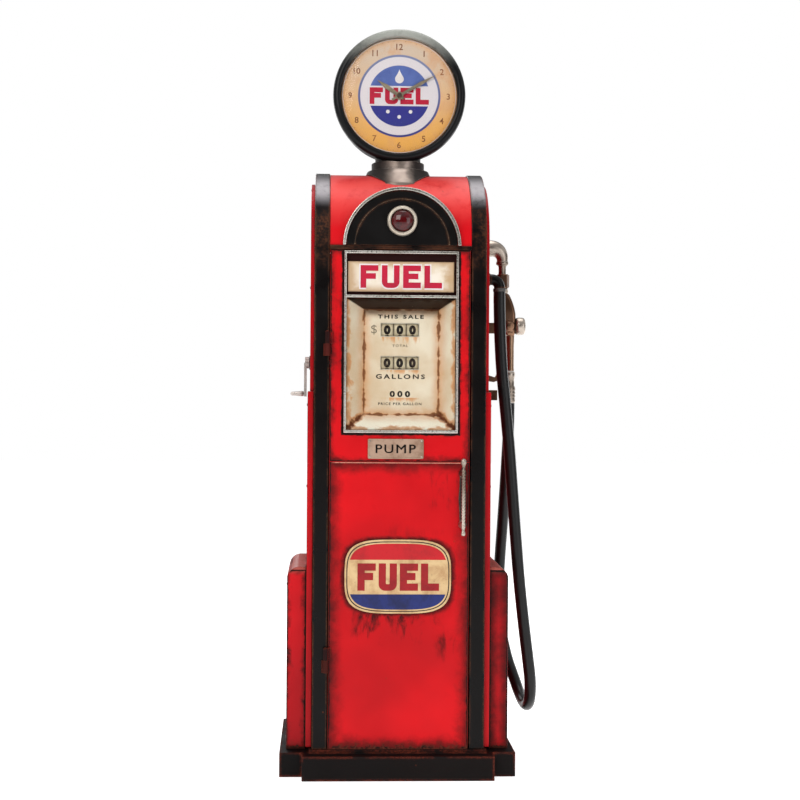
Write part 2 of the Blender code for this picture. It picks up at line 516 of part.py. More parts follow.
def pivots():
    """The empties that moving pieces turn or slide with: a point on each axis, and the pieces it carries."""
    clock = (0, -50, GLOBE_Z)
    found = {
        "door_pivot": ((*HINGE, 600), "door_sheet window_frame window_glass sign_panel name_plate badge_plate door_handle"),
        "minute_pivot": (clock, "minute_hand"),
        "hour_pivot": (clock, "hour_hand"),
        "crank_pivot": ((-215, WHEEL_Y, GALLONS_Z), "reset_crank"),
        "grip_pivot": ((-228, WHEEL_Y, 844.5), "crank_grip"),
        "hook_pivot": ((214, 50, 886), "hook_lever"),
        "nozzle_slide": ((SPOUT_X, NOZZLE_Y, SPOUT_Z), "nozzle_spout nozzle_body hose_ferrule"),
        "squeeze_pivot": ((270, 70, 1034), "nozzle_lever"),
        "pump_pivot": ((-112, BELT_Y, PUMP_Z), "pump_pulley"),
        "motor_pivot": ((-112, BELT_Y, MOTOR_Z), "motor_pulley"),
        "meter_pivot": ((0, -45, 700), "meter_shaft"),
    }
    for row, level in (("sale", SALE_Z), ("gallons", GALLONS_Z)):
        for place, x in zip(("tens", "units", "tenths"), WHEEL_X):
            found[f"{row}_{place}_pivot"] = ((x, WHEEL_Y, level), f"{row}_wheel_{place}")
    return found


def coat(name, colour, roughness, metallic):
    made = bpy.data.materials.new(name)
    made.use_nodes = True
    shader = made.node_tree.nodes["Principled BSDF"]
    shader.inputs["Base Color"].default_value = (*colour, 1)
    shader.inputs["Roughness"].default_value = roughness
    shader.inputs["Metallic"].default_value = metallic
    return made


def move_origin(obj, point):
    """Puts the object's own origin at a point of the scene, its surface staying where it is."""
    shift = Vector(point) - obj.location
    obj.data.transform(Matrix.Translation(-shift))
    obj.location = Vector(point)


def dress_and_place():
    for name, (colour, roughness, metallic, wearers) in COATS.items():
        material = coat(name, colour, roughness, metallic)
        for wearer in wearers.split():
            obj = bpy.data.objects[wearer]
            obj.data.materials.clear()
            obj.data.materials.append(material)
            if obj.type == "MESH":
                obj.data.shade_smooth()
                obj.data.set_sharp_from_angle(angle=math.radians(35))
    cabinet = bpy.data.objects.new("cabinet_base", None)
    bpy.context.collection.objects.link(cabinet)
    carried = {}
    for name, (point, pieces) in pivots().items():
        empty = bpy.data.objects.new(name, None)
        bpy.context.collection.objects.link(empty)
        empty.location = [value / 1000 for value in point]
        parent = {"grip_pivot": "crank_pivot", "squeeze_pivot": "nozzle_slide"}.get(name)
        empty.parent = bpy.data.objects[parent] if parent else cabinet
        if parent:
            empty.location -= empty.parent.location
        carried.update(dict.fromkeys(pieces.split(), (empty, Vector(point) / 1000)))
    for obj in [obj for obj in bpy.data.objects if obj.type != "EMPTY"]:
        if obj.name in carried:
            empty, point = carried[obj.name]
            move_origin(obj, point)
            obj.parent, obj.location = empty, (0, 0, 0)
            continue
        corners = [Vector(corner) for corner in obj.bound_box]
        if obj.type == "MESH":
            move_origin(obj, sum(corners, Vector()) / 8)
        obj.parent = cabinet


def main():
    for obj in list(bpy.data.objects):
        bpy.data.objects.remove(obj)
    for make in (make_plinth, make_frames, make_roof, make_arch, make_sides, make_globe, make_door, make_display,
                 make_crank, make_outlet, make_nozzle, make_hose, make_machinery):
        make()
    dress_and_place()


main()
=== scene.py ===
"""The looks of the gas pump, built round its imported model. Lengths are millimetres, metres in the materials."""

import json
import math

import bmesh
import bpy
from mathutils import Matrix, Vector


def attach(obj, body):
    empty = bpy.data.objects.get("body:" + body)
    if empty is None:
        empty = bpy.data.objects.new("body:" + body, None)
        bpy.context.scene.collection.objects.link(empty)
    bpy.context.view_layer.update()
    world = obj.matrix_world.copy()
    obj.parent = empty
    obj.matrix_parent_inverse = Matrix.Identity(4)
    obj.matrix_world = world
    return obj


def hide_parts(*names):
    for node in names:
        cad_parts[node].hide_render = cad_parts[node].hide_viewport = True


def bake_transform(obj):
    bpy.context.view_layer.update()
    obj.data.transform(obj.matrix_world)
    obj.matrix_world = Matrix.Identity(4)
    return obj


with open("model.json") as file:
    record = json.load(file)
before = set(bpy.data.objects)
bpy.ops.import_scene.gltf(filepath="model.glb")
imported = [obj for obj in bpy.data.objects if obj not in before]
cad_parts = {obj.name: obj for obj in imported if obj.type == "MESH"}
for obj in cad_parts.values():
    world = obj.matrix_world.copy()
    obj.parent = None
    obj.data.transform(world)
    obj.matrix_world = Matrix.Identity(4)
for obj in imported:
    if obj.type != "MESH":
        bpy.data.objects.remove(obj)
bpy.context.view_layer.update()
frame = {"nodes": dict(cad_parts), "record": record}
RECORD = frame["record"]
BODY = {node: body for body, nodes in RECORD["behaviour"]["bodies"].items() for node in nodes}
SLOT = {row["node"]: row["material_slot"] for row in RECORD["subparts"]}

ARCH, LAMP = (2.0, 1170.0), (2.0, 1226.0)
GLOBE_Z, DIAL_Y = 1528.0, -46.05
OUTLET, FERRULE, HOSE_X = (231.5, -60.0, 1079.7), (270.0, 50.0, 825.7), 270.0
NOZZLE_Y, SPOUT_X, SPOUT_Z, ELBOW_Z = 50.0, 252.0, 1191.0, 1108.0
WHEEL_Y, WHEEL_FACE, SALE_Z, GALLONS_Z = -79.0, 35.22, 988.5, 914.5
WHEEL_X = {"tens": -27.2, "units": 1.2, "tenths": 29.6}
BADGE, BADGE_POWER = (-2.5, 443.0), 3.6
DIAL_PLATE_Y = -117.0
HANDLE_X = 139.0
WINDOW = (-124.5, 127.5, 759, 1160)
TRAY_BACK = (-79, 88, 799, 1033.5)
SIGN = (-117, 118, 1070, 1137)


def srgb(r, g, b):
    """A linear colour from 0 to 255 screen values."""
    return tuple(((v / 255 + 0.055) / 1.055) ** 2.4 if v > 10 else v / 255 / 12.92 for v in (r, g, b))


def dim(colour, share):
    return tuple(share * v for v in colour)


# The dark colour of soot, also used for shade painted into crevices, along joints, behind the window frame and
# round the badge.
RUST, SOOT_AND_SHADE = srgb(112, 52, 24), srgb(22, 10, 9)


def linked(name, data):
    obj = bpy.data.objects.new(name, data)
    bpy.context.collection.objects.link(obj)
    return obj


# ---------------------------------------------------------------- material nodes


class Value:
    """A number that nodes work out. Arithmetic with it adds a node and gives the next one."""

    def __init__(self, recipe, socket):
        self.recipe, self.socket = recipe, socket

    def __add__(self, other):
        return self.recipe.math("ADD", self, other)

    def __sub__(self, other):
        return self.recipe.math("SUBTRACT", self, other)

    def __rsub__(self, other):
        return self.recipe.math("SUBTRACT", other, self)

    def __mul__(self, other):
        return self.recipe.math("MULTIPLY", self, other)

    def __pow__(self, other):
        return self.recipe.math("POWER", self, other)

    def __abs__(self):
        return self.recipe.math("ABSOLUTE", self)

    __radd__, __rmul__ = __add__, __mul__

    def step(self, low, high):
        """0 up to low, 1 from high, smooth between them. The other way round where high is the smaller."""
        ends = (0.0, 1.0) if low < high else (1.0, 0.0)
        inputs = {0: self, 1: min(low, high), 2: max(low, high), 3: ends[0], 4: ends[1]}
        return self.recipe.value("ShaderNodeMapRange", inputs, interpolation_type="SMOOTHSTEP")


class Recipe:
    """Builds one material, or the world. Its methods add nodes and give back what the nodes put out."""

    def __init__(self, name, owner=None, place="Object"):
        self.made = owner or bpy.data.materials.new(name)
        self.made.use_nodes = True
        self.tree = self.made.node_tree
        self.tree.nodes.clear()
        self.place = self.add("ShaderNodeTexCoord").outputs[place]

    def feed(self, socket, value):
        value = value.socket if isinstance(value, Value) else value
        if isinstance(value, bpy.types.NodeSocket):
            self.tree.links.new(value, socket)
        elif socket.type == "RGBA":
            socket.default_value = (*value[:3], 1)
        else:
            socket.default_value = value

    def add(self, kind, inputs=None, **settings):
        node = self.tree.nodes.new(kind)
        for key, value in settings.items():
            setattr(node, key, value)
        for key, value in (inputs or {}).items():
            self.feed(node.inputs[key], value)
        return node

    def value(self, kind, inputs, output=0, **settings):
        return Value(self, self.add(kind, inputs, **settings).outputs[output])

    def math(self, operation, a, b=0.0, clamp=False):
        return self.value("ShaderNodeMath", {0: a, 1: b}, operation=operation, use_clamp=clamp)

    def most(self, first, *others):
        for other in others:
            first = self.math("MAXIMUM", first, other)
        return first

    def least(self, first, *others):
        for other in others:
            first = self.math("MINIMUM", first, other)
        return first

    def mix(self, share, a, b):
        node = self.add("ShaderNodeMix", {0: share}, data_type="RGBA")
        self.feed(node.inputs[6], a)
        self.feed(node.inputs[7], b)
        return node.outputs[2]

    def shaders(self, share, a, b):
        return self.add("ShaderNodeMixShader", {0: share, 1: a.outputs[0], 2: b.outputs[0]})

    def stretched(self, x, y, z):
        return self.add("ShaderNodeMapping", {"Vector": self.place, "Scale": (x, y, z)}).outputs[0]

    def noise(self, scale, detail=4.0, rough=0.55, warp=0.0, at=None):
        return self.value("ShaderNodeTexNoise", {"Vector": at or self.place, "Scale": scale, "Detail": detail,
                                                 "Roughness": rough, "Distortion": warp}, "Fac")

    def xyz(self):
        return [Value(self, part) for part in self.add("ShaderNodeSeparateXYZ", {0: self.place}).outputs]

    def edges(self, radius):
        """1 where a surface turns within the radius, as at a rounded edge."""
        soft = self.add("ShaderNodeBevel", {"Radius": radius}, samples=4).outputs[0]
        true = self.add("ShaderNodeNewGeometry").outputs["Normal"]
        return (1.0 - self.value("ShaderNodeVectorMath", {0: soft, 1: true}, "Value",
                                 operation="DOT_PRODUCT")).step(0.012, 0.2)

    def facing(self, axis):
        """1 on faces that look along this axis of the piece, 0 on the others."""
        true = self.add("ShaderNodeNewGeometry").outputs["True Normal"]
        own = self.add("ShaderNodeVectorTransform", {0: true}, vector_type="NORMAL", convert_from="WORLD",
                       convert_to="OBJECT")
        return abs(self.value("ShaderNodeSeparateXYZ", {0: own.outputs[0]}, "xyz".index(axis))).step(0.55,
                                                                                                     0.75)

    def crevice(self, distance):
        return 1.0 - self.value("ShaderNodeAmbientOcclusion", {"Distance": distance}, "AO", samples=4)

    def inside(self, rect, axes="xz"):
        """Metres to the nearest side of an upright rectangle (low, high, foot, top), below 0 outside it."""
        across, up = (self.xyz()["xyz".index(axis)] for axis in axes)
        low, high, foot, top = (v / 1000 for v in rect)
        return self.least(across - low, high - across, up - foot, top - up)

    def bump(self, height, strength, distance, after=None):
        inputs = {"Height": height, "Strength": strength, "Distance": distance}
        if after is not None:
            inputs["Normal"] = after
        return self.add("ShaderNodeBump", inputs).outputs[0]

    def finish(self, color, rough, metal=0.0, normal=None, shine=0.5, coat=0.0, film=0.12, **more):
        """The surface itself: shine its specular level, coat a clear coat's weight and film its roughness."""
        if normal is not None:
            more["Normal"] = normal
        shader = self.add("ShaderNodeBsdfPrincipled",
                          {"Base Color": color, "Roughness": rough, "Metallic": metal,
                           "Specular IOR Level": shine, "Coat Weight": coat, "Coat Roughness": film, **more})
        self.add("ShaderNodeOutputMaterial", {"Surface": shader.outputs[0]})
        return self.made


# ---------------------------------------------------------------- camera, light and floor


def make_camera():
    """A long lens in front and a little left of the pump, level with its window."""
    data = bpy.data.cameras.new("camera")
    data.lens, data.sensor_width = 61.36, 36.0
    data.shift_x, data.shift_y = 0.0338, -0.00741
    camera = linked("camera", data)
    turn = Matrix.Rotation(math.radians(-2.039), 4, "Z") @ Matrix.Rotation(math.radians(90.086), 4, "X")
    camera.matrix_world = Matrix.Translation((-0.1668, -3.1657,
                                              0.8399)) @ turn @ Matrix.Rotation(math.radians(0.39), 4, "Z")
    bpy.context.scene.camera = camera


LIGHTS = {  # at, towards (height over the middle of the floor), size, power, colour
          "key": ((-1.7, -3.3, 2.9), 0.9, (2.2, 2.2), 88, (1, 0.985, 0.965)),
          "fill": ((2.4, -2.9, 1.5), 0.8, (1.6, 2.4), 26, (0.97, 0.98, 1)),
          "top": ((0.2, 0.2, 3.5), 1.0, (1.8, 1.8), 34, (1, 1, 1)),
          "back": ((-1.5, 3.0, 2.2), 0.9, (2.4, 2.0), 48, (1, 1, 1)),
          "back_low": ((2.2, 2.6, 1.2), 0.8, (1.6, 2.0), 26, (1, 1, 1)), }
FLOOR_REACH = 14.0


def make_studio():
    """A white room. Shiny things see it dark at eye level, with pale panels at the corners and a pale roof."""
    scene = bpy.context.scene
    scene.view_settings.view_transform = "Standard"
    scene.view_settings.look = "None"
    scene.world = bpy.data.worlds.new("studio")
    r = Recipe("studio", scene.world, "Generated")
    x, _, z = r.xyz()
    panel = abs(x).step(0.66, 0.76) * abs(x).step(0.97, 0.9)
    shine = r.math("ADD", 0.05 + panel * 0.75, z.step(0.25, 0.75) * 0.7, clamp=True)
    ray = r.add("ShaderNodeLightPath").outputs
    strength = r.value("ShaderNodeMix", {0: ray["Is Glossy Ray"], 2: 0.34, 3: shine}, data_type="FLOAT")
    lit = r.add("ShaderNodeBackground", {"Color": (0.96, 0.98, 1), "Strength": strength})
    seen = r.add("ShaderNodeBackground", {"Color": (1, 1, 1), "Strength": 1.0})
    r.add("ShaderNodeOutputWorld", {"Surface": r.shaders(ray["Is Camera Ray"], lit, seen).outputs[0]})
    for name, (at, height, size, power, colour) in LIGHTS.items():
        data = bpy.data.lights.new(name, "AREA")
        data.shape, data.size, data.size_y = "RECTANGLE", *size
        data.energy, data.color = power, colour
        light = linked(name, data)
        light.location = at
        light.rotation_euler = (Vector((0, 0, height)) - Vector(at)).to_track_quat("-Z", "Y").to_euler()
    mesh = bpy.data.meshes.new("floor")
    corners = [(FLOOR_REACH * x, FLOOR_REACH * y, -0.001) for x, y in ((-1, -1), (1, -1), (1, 1), (-1, 1))]
    mesh.from_pydata(corners, [], [(0, 1, 2, 3)])
    white = {"Emission Color": (1, 1, 1), "Emission Strength": 0.78}
    mesh.materials.append(Recipe("floor").finish((0.9, 0.9, 0.9), 0.95, shine=0.0, **white))
    linked("floor", mesh)


# ---------------------------------------------------------------- the materials


def worn_paint(name, colour, shade, edge=(96, 44, 30), wear=0.8, grime_and_shade=0.7, rough=0.3, rims=(), stains=(),
               edge_radius=0.004,
               coat=0.04, foot=None, zone=None, fade_and_painted_highlight=None, dark=(), pale=(), shine=0.1, halo=None, front=0.0):
    """Old enamel: uneven colour, soiling and painted shade in corners and along rims, paint rubbed off the edges,
    fine unevenness. rims are (rectangle, axes, inwards, line, reach): sides with a dark line this wide and soft
    darkening this far, partly soot and partly painted shade where a neighbouring part shades the face.
    stains are (low, high, foot, top, strength) regions of ragged soot. foot is a height under which the paint
    is eaten, and zone (low, high) heights between which brown rust shows through. fade (foot, top, colour,
    share) paints a paler band between two heights: a painted highlight on the roof, frame tops and globe rim,
    and paler skirt tops. dark and pale list rectangles that are black or rubbed pale all over; behind the
    window frame the black is painted shade. halo (x, z, half width, half height) is an oval with soot and the
    badge's painted shadow round it. With front given, stains, pale and halo stay in front of that y, and dark
    within 10 of it."""
    r = Recipe(name)
    colour, shade, edge = srgb(*colour), srgb(*shade), srgb(*edge)
    tone = r.noise(3.1, 3)
    blotch = r.noise(17, 6, 0.62, 0.35)
    ragged = r.noise(55, 7, 0.68, 0.5) - 0.5
    grain = r.noise(190, 4)
    x, y, z = r.xyz()
    color = r.mix(tone.step(0.32, 0.7), shade, colour)
    color = r.mix(r.noise(42, 5, 0.6).step(0.55, 0.8) * 0.22, color, dim(colour, 0.62))
    # A paler band between two heights; on the roof, frame tops and globe rim it is a painted highlight.
    if fade_and_painted_highlight:
        middle = (fade_and_painted_highlight[0] + fade_and_painted_highlight[1]) / 2000
        band = z.step(fade_and_painted_highlight[0] / 1000, middle) * z.step(fade_and_painted_highlight[1] / 1000, middle)
        color = r.mix(band * (blotch + ragged * 0.4).step(0.12, 0.55) * fade_and_painted_highlight[3], color, srgb(*fade_and_painted_highlight[2]))
    # Darkening in crevices by ambient occlusion, broken up by noise: painted shade, mixed with soiling.
    dirt_and_shade = (r.crevice(0.03) + (blotch - 0.5) * 0.9).step(0.4, 1.0) * grime_and_shade
    # Each rim paints a dark line and a soft darkening beside a rectangle's sides: soot, and painted shade where a
    # frame or the body shades the face.
    for rect, axes, inwards, line, reach in rims:
        gap = r.inside(rect, axes) * (1.0 if inwards else -1.0)
        here = gap.step(-0.0005, 0.0003) * r.facing(next(axis for axis in "xyz" if axis not in axes))
        sharp = (gap + ragged * 0.008).step((line + 1.2) / 1000, (line - 0.8) / 1000)
        soft = (gap + (blotch - 0.5 + ragged * 0.5) * 0.045).step(reach / 1000, -0.004) * grime_and_shade
        dirt_and_shade = r.most(dirt_and_shade, here * r.most(sharp, soft))
    ahead, pocket = (y.step((at + 0.3) / 1000, (at - 0.3) / 1000) if front else 1.0
                     for at in (front, front + 10))
    # A dark ring round the raised badge: its painted shadow, with soot.
    if halo:
        across, high = abs((x - halo[0]) * (1 / halo[2])), abs((z - halo[1]) * (1 / halo[3]))
        far = (across ** BADGE_POWER + high ** BADGE_POWER) ** (1 / BADGE_POWER)
        dirt_and_shade = r.most(dirt_and_shade, ahead * (far + ragged * 0.2).step(1.14, 1.01) * 0.85)
    for rect in pale:
        line = ahead * r.inside(rect).step(-0.0003, 0.0003) * (ragged + blotch * 0.5).step(0.0, 0.2)
        color, dirt_and_shade = r.mix(line * 0.8, color, srgb(214, 150, 128)), dirt_and_shade * (1.0 - line)
    # Rectangles painted near black; the window one is painted shade behind the window frame.
    for rect in dark:
        dirt_and_shade = r.most(dirt_and_shade, pocket * r.inside(rect).step(-0.0004, 0.0004) * 0.985)
    cloud = r.noise(1.0, 6, 0.66, 0.6, at=r.stretched(34, 34, 13)) - 0.5
    for *rect, strength in stains:
        depth = (r.inside(rect) + cloud * 0.05).step(0.002, 0.03)
        spots = (cloud + z.step(rect[2] / 1000, rect[3] / 1000) * 0.16).step(0.0, 0.26)
        dirt_and_shade = r.most(dirt_and_shade, depth * spots * ahead * strength)
    # All of this darkening, soot and painted shade alike, is mixed in as one dark colour.
    color = r.mix(dirt_and_shade, color, SOOT_AND_SHADE)
    bare = 0.0
    if foot:
        up = z + ragged * 0.05
        bare = up.step((foot + 9) / 1000, (foot + 4) / 1000)
        color = r.mix(up.step((foot + 22) / 1000, (foot + 6) / 1000) * 0.6, color, srgb(96, 24, 18))
    if zone:
        band = z.step(zone[0] / 1000, (zone[0] + 40) / 1000) * z.step(zone[1] / 1000, (zone[1] - 40) / 1000)
        bare = r.most(bare, band * (ragged * 0.4 + blotch * 0.6).step(0.2, 0.5) * 0.62)
    color = r.mix(bare, color, r.mix(grain.step(0.35, 0.65), srgb(34, 14, 10), edge))
    rubbed = r.edges(edge_radius) * blotch.step(0.36, 0.56) * wear
    color = r.mix(rubbed, color, r.mix(grain.step(0.4, 0.62), edge, dim(edge, 0.35)))
    cells = r.value("ShaderNodeTexVoronoi", {"Vector": r.place, "Scale": 38})
    chips = cells.step(0.10, 0.05) * r.noise(9, 3).step(0.55, 0.68)
    color = r.mix(chips * (0.8 * wear), color, RUST)
    gloss = rough + r.most(dirt_and_shade, bare) * 0.4 + blotch.step(0.35, 0.75) * 0.14 + rubbed * 0.3
    wave = r.bump(tone, 0.12, 0.01)
    fine = r.bump(blotch * 0.6 + grain * 0.2, 0.12, 0.0015, wave)
    normal = r.bump((rubbed + chips + bare) * -1.0, 0.25, 0.0006, fine)
    return r.finish(color, gloss, 0.0, normal, shine, coat)


def aged_metal(name, colour, shade, tarnish, rough, amount, bright_edges, metal=1.0, sides=None):
    """Bare metal, tarnished in corners and bright along edges. Beyond sides (near, far) from x = 0 it is
    painted darker, as painted shade on the flanks of a round neck.
    """
    r = Recipe(name)
    blotch, grain = r.noise(30, 6, 0.62, 0.3), r.noise(260, 4)
    color = r.mix(r.noise(9, 3).step(0.35, 0.7), srgb(*shade), srgb(*colour))
    tarnish_and_shade = (r.crevice(0.012) + (blotch - 0.5) * 1.3).step(0.25, 0.85) * amount
    # sides paints the flanks darker in the tarnish colour: painted shade, as a round neck shows at its sides.
    if sides:
        tarnish_and_shade = r.most(tarnish_and_shade, (abs(r.xyz()[0]) + (blotch - 0.5) * 0.03).step(*sides) * 0.96)
    color = r.mix(tarnish_and_shade, color, srgb(*tarnish))
    bright = tuple(min(1, v * 1.45) for v in srgb(*colour))
    color = r.mix(r.edges(0.0022) * blotch.step(0.35, 0.6) * bright_edges, color, bright)
    gloss = rough + tarnish_and_shade * 0.35 + (grain - 0.5) * 0.18
    return r.finish(color, gloss, metal - tarnish_and_shade * (0.55 * metal),
                    r.bump(blotch * 0.5 + grain * 0.3, 0.14, 0.0012))


def make_print(name, colour, shade, rough, fading=0.7):
    """A printed or enamelled field, faded in patches and speckled."""
    r = Recipe(name)
    fade_and_painted_highlight = r.noise(22, 6, 0.65, 0.3).step(0.4, 0.75)
    color = r.mix(fade_and_painted_highlight * fading, srgb(*colour), srgb(*shade))
    color = r.mix(r.noise(240, 3).step(0.62, 0.74) * 0.4, color, dim(srgb(*shade), 0.45))
    # Darkening in crevices by ambient occlusion: painted shade.
    color = r.mix(r.crevice(0.006).step(0.3, 0.9) * 0.5, color, SOOT_AND_SHADE)
    return r.finish(color, rough + fade_and_painted_highlight * 0.15, 0.0, r.bump(r.noise(120, 5), 0.1, 0.0006), shine=0.3)


def make_tray():
    """Cream enamel of the display, rusted along its seams and walls, with runs under the number windows. Its top
    wall and the top of its back plate are painted dark as shadow, and its bottom wall painted lighter as lit.
    """
    r = Recipe("cream_tray")
    x, y, z = r.xyz()
    blotch = r.noise(34, 6, 0.65, 0.4)
    uneven = blotch - 0.5
    streaks = r.noise(1.0, 6, 0.7, 0.3, at=r.stretched(105, 105, 9))
    color = r.mix(r.noise(11, 4).step(0.35, 0.72), srgb(226, 212, 193), srgb(208, 184, 156))
    front = y.step(-0.1185, -0.1175)
    near = abs(r.inside(TRAY_BACK)) + uneven * 0.02
    seam, glow = near.step(0.005, 0.0005), near.step(0.022, 0.0)
    brim = (y + uneven * 0.05).step(-0.148, -0.162)
    # How far out a sloping wall reaches: 0 at its seam, 1 at its brim.
    side = r.most(x * -26.0 - 2.05, x * 30.8 - 2.71)
    foot, head = z * -31.2 + 24.97, z * 47.6 - 49.2
    level = r.most(foot, head)
    fold = (abs(side - level) + uneven
            * 1.8).step(0.62, 0.05) * r.most(side, level).step(-0.28, 0.1) * z.step(0.98, 0.85)
    # roof marks the tray's top wall, painted near black below as the shadow under the frame.
    roof = head.step(-0.1, 0.1) * (head - side).step(-0.12, 0.06) * (1.0 - front)
    # floor marks the bottom wall, painted lighter as the face that the light falls on.
    floor = (foot - side).step(-0.05, 0.1) * foot.step(-0.05, 0.15)
    color = r.mix(floor * 0.85, color, srgb(252, 246, 232))
    rust = r.most(seam * 0.85, brim * 0.62, fold)
    span = x.step(-0.046, -0.036) * x.step(0.05, 0.04)
    for top, length in ((SALE_Z - 15.5, 30), (GALLONS_Z - 15.5, 18), (837, 18)):
        fall = z.step((top - length) / 1000, top / 1000) * z.step((top + 0.8) / 1000, (top - 0.8) / 1000)
        rust = r.most(rust, fall * span * (streaks + fall * 0.15).step(0.52, 0.72) * 0.5)
    color = r.mix(r.most(glow * 0.5, rust.step(0.03, 0.5) * 0.75), color, srgb(204, 134, 74))
    color = r.mix(rust.step(0.45, 1.0) * 0.92, color, srgb(88, 34, 16))
    # A painted shadow across the top of the back plate, mixed in with the top wall's painted shadow.
    shadow = (z + uneven * 0.02).step(1.012, 1.033) * front
    color = r.mix(r.math("ADD", roof * 0.985, shadow * 0.75, clamp=True), color, srgb(34, 20, 14))
    return r.finish(color, 0.42 + rust * 0.35, 0.0, r.bump(rust * 0.6 + blotch * 0.3, 0.2, 0.001), shine=0.06)


def make_sign():
    """The cream sign, browned towards its ends."""
    r = Recipe("sign_cream")
    blotch = r.noise(26, 6, 0.6, 0.3)
    uneven, gap = (blotch - 0.5) * 0.04, r.inside(SIGN)
    ends = abs(r.xyz()[0] + uneven).step(0.088, 0.112)
    color = r.mix(blotch.step(0.35, 0.75), srgb(222, 212, 198), srgb(206, 188, 160))
    color = r.mix(r.most((gap + uneven).step(0.02, 0.0), ends) * 0.8, color, srgb(172, 136, 94))
    color = r.mix(gap.step(0.004, 0.0) * 0.45, color, srgb(96, 60, 30))
    return r.finish(color, 0.35, 0.0, r.bump(blotch, 0.08, 0.001), 0.3, 0.2, 0.15)


def make_dial():
    """The clock dial: orange below and peach above, with a navy ring, a pale ring and a blue disc in the middle;
    the paler upper part is a painted reflection of the glass.
    """
    r = Recipe("dial")
    x, _, z = r.xyz()
    up = z - GLOBE_Z / 1000
    away = r.math("SQRT", x * x + up * up)
    blotch = r.noise(30, 6, 0.62, 0.4)
    # high paints the upper part paler: a painted reflection of the glass over the dial.
    high = (up + (blotch - 0.5) * 0.08).step(-0.13, 0.13)
    color = r.mix(high, srgb(222, 160, 78), srgb(198, 176, 160))
    color = r.mix(away.step(0.112, 0.130) * 0.4, color, srgb(222, 150, 76))
    color = r.mix(blotch.step(0.45, 0.72) * 0.55, color, srgb(206, 146, 98))

    def ring(inner, outer):
        return away.step((inner - 0.4) / 1000, (inner + 0.4) / 1000) * away.step((outer + 0.4) / 1000,
                                                                                 (outer - 0.4) / 1000)

    pale = srgb(208, 198, 204)
    color = r.mix(ring(-5, 93), color, pale)
    # The ring and the blue disc are painted paler above too, as the same painted reflection.
    color = r.mix(ring(89.6, 94.6), color, r.mix(high, srgb(46, 46, 120), srgb(120, 126, 160)))
    disc = r.mix(up.step(-0.02, 0.03), srgb(44, 42, 128), srgb(84, 102, 166))
    color = r.mix(ring(-5, 70), color, r.mix(blotch.step(0.35, 0.7) * 0.4, disc, dim(srgb(60, 70, 140), 0.7)))
    color = r.mix(ring(-5, 71.0) * abs(up).step(0.0232, 0.0226), color, pale)
    return r.finish(color, 0.4, 0.0, r.bump(blotch, 0.06, 0.0008), shine=0.3)


def make_rubber():
    """Glossy black rubber, a little dusty."""
    r = Recipe("rubber")
    dust = r.noise(18, 6, 0.62, 0.4).step(0.5, 0.85)
    color = r.mix(dust * 0.3, srgb(8, 8, 9), srgb(26, 25, 25))
    height = r.noise(420, 4) * 0.5 + dust * 0.4
    return r.finish(color, 0.34 + dust * 0.2, 0.0, r.bump(height, 0.08, 0.0006), shine=0.3)


def make_belt():
    r = Recipe("belt")
    color = r.mix(r.noise(40, 4).step(0.4, 0.7), srgb(30, 29, 28), srgb(54, 50, 47))
    return r.finish(color, 0.75, 0.0, r.bump(r.noise(300, 4), 0.3, 0.0006))


def make_glass():
    """Thin window glass, clear but for faint dirt."""
    r = Recipe("glass")
    smear = r.noise(14, 6, 0.65, 0.6).step(0.5, 0.85) * 0.012
    clear = r.add("ShaderNodeBsdfTransparent", {"Color": (0.97, 0.98, 0.97)})
    gloss = r.add("ShaderNodeBsdfGlossy", {"Color": (1, 1, 1), "Roughness": 0.04})
    film = r.add("ShaderNodeBsdfDiffuse", {"Color": srgb(190, 170, 140)})
    body = r.shaders(r.value("ShaderNodeFresnel", {"IOR": 1.35}) * 0.14, clear, gloss)
    r.add("ShaderNodeOutputMaterial", {"Surface": r.shaders(smear, body, film).outputs[0]})
    return r.made


def make_lamp_glass():
    r = Recipe("lamp_glass")
    cloud = r.noise(60, 5)
    color = r.mix(cloud.step(0.3, 0.7), srgb(40, 3, 6), srgb(78, 8, 12))
    return r.finish(color, 0.12, 0.0, r.bump(cloud, 0.05, 0.0006), 0.3, 0.25, 0.05)


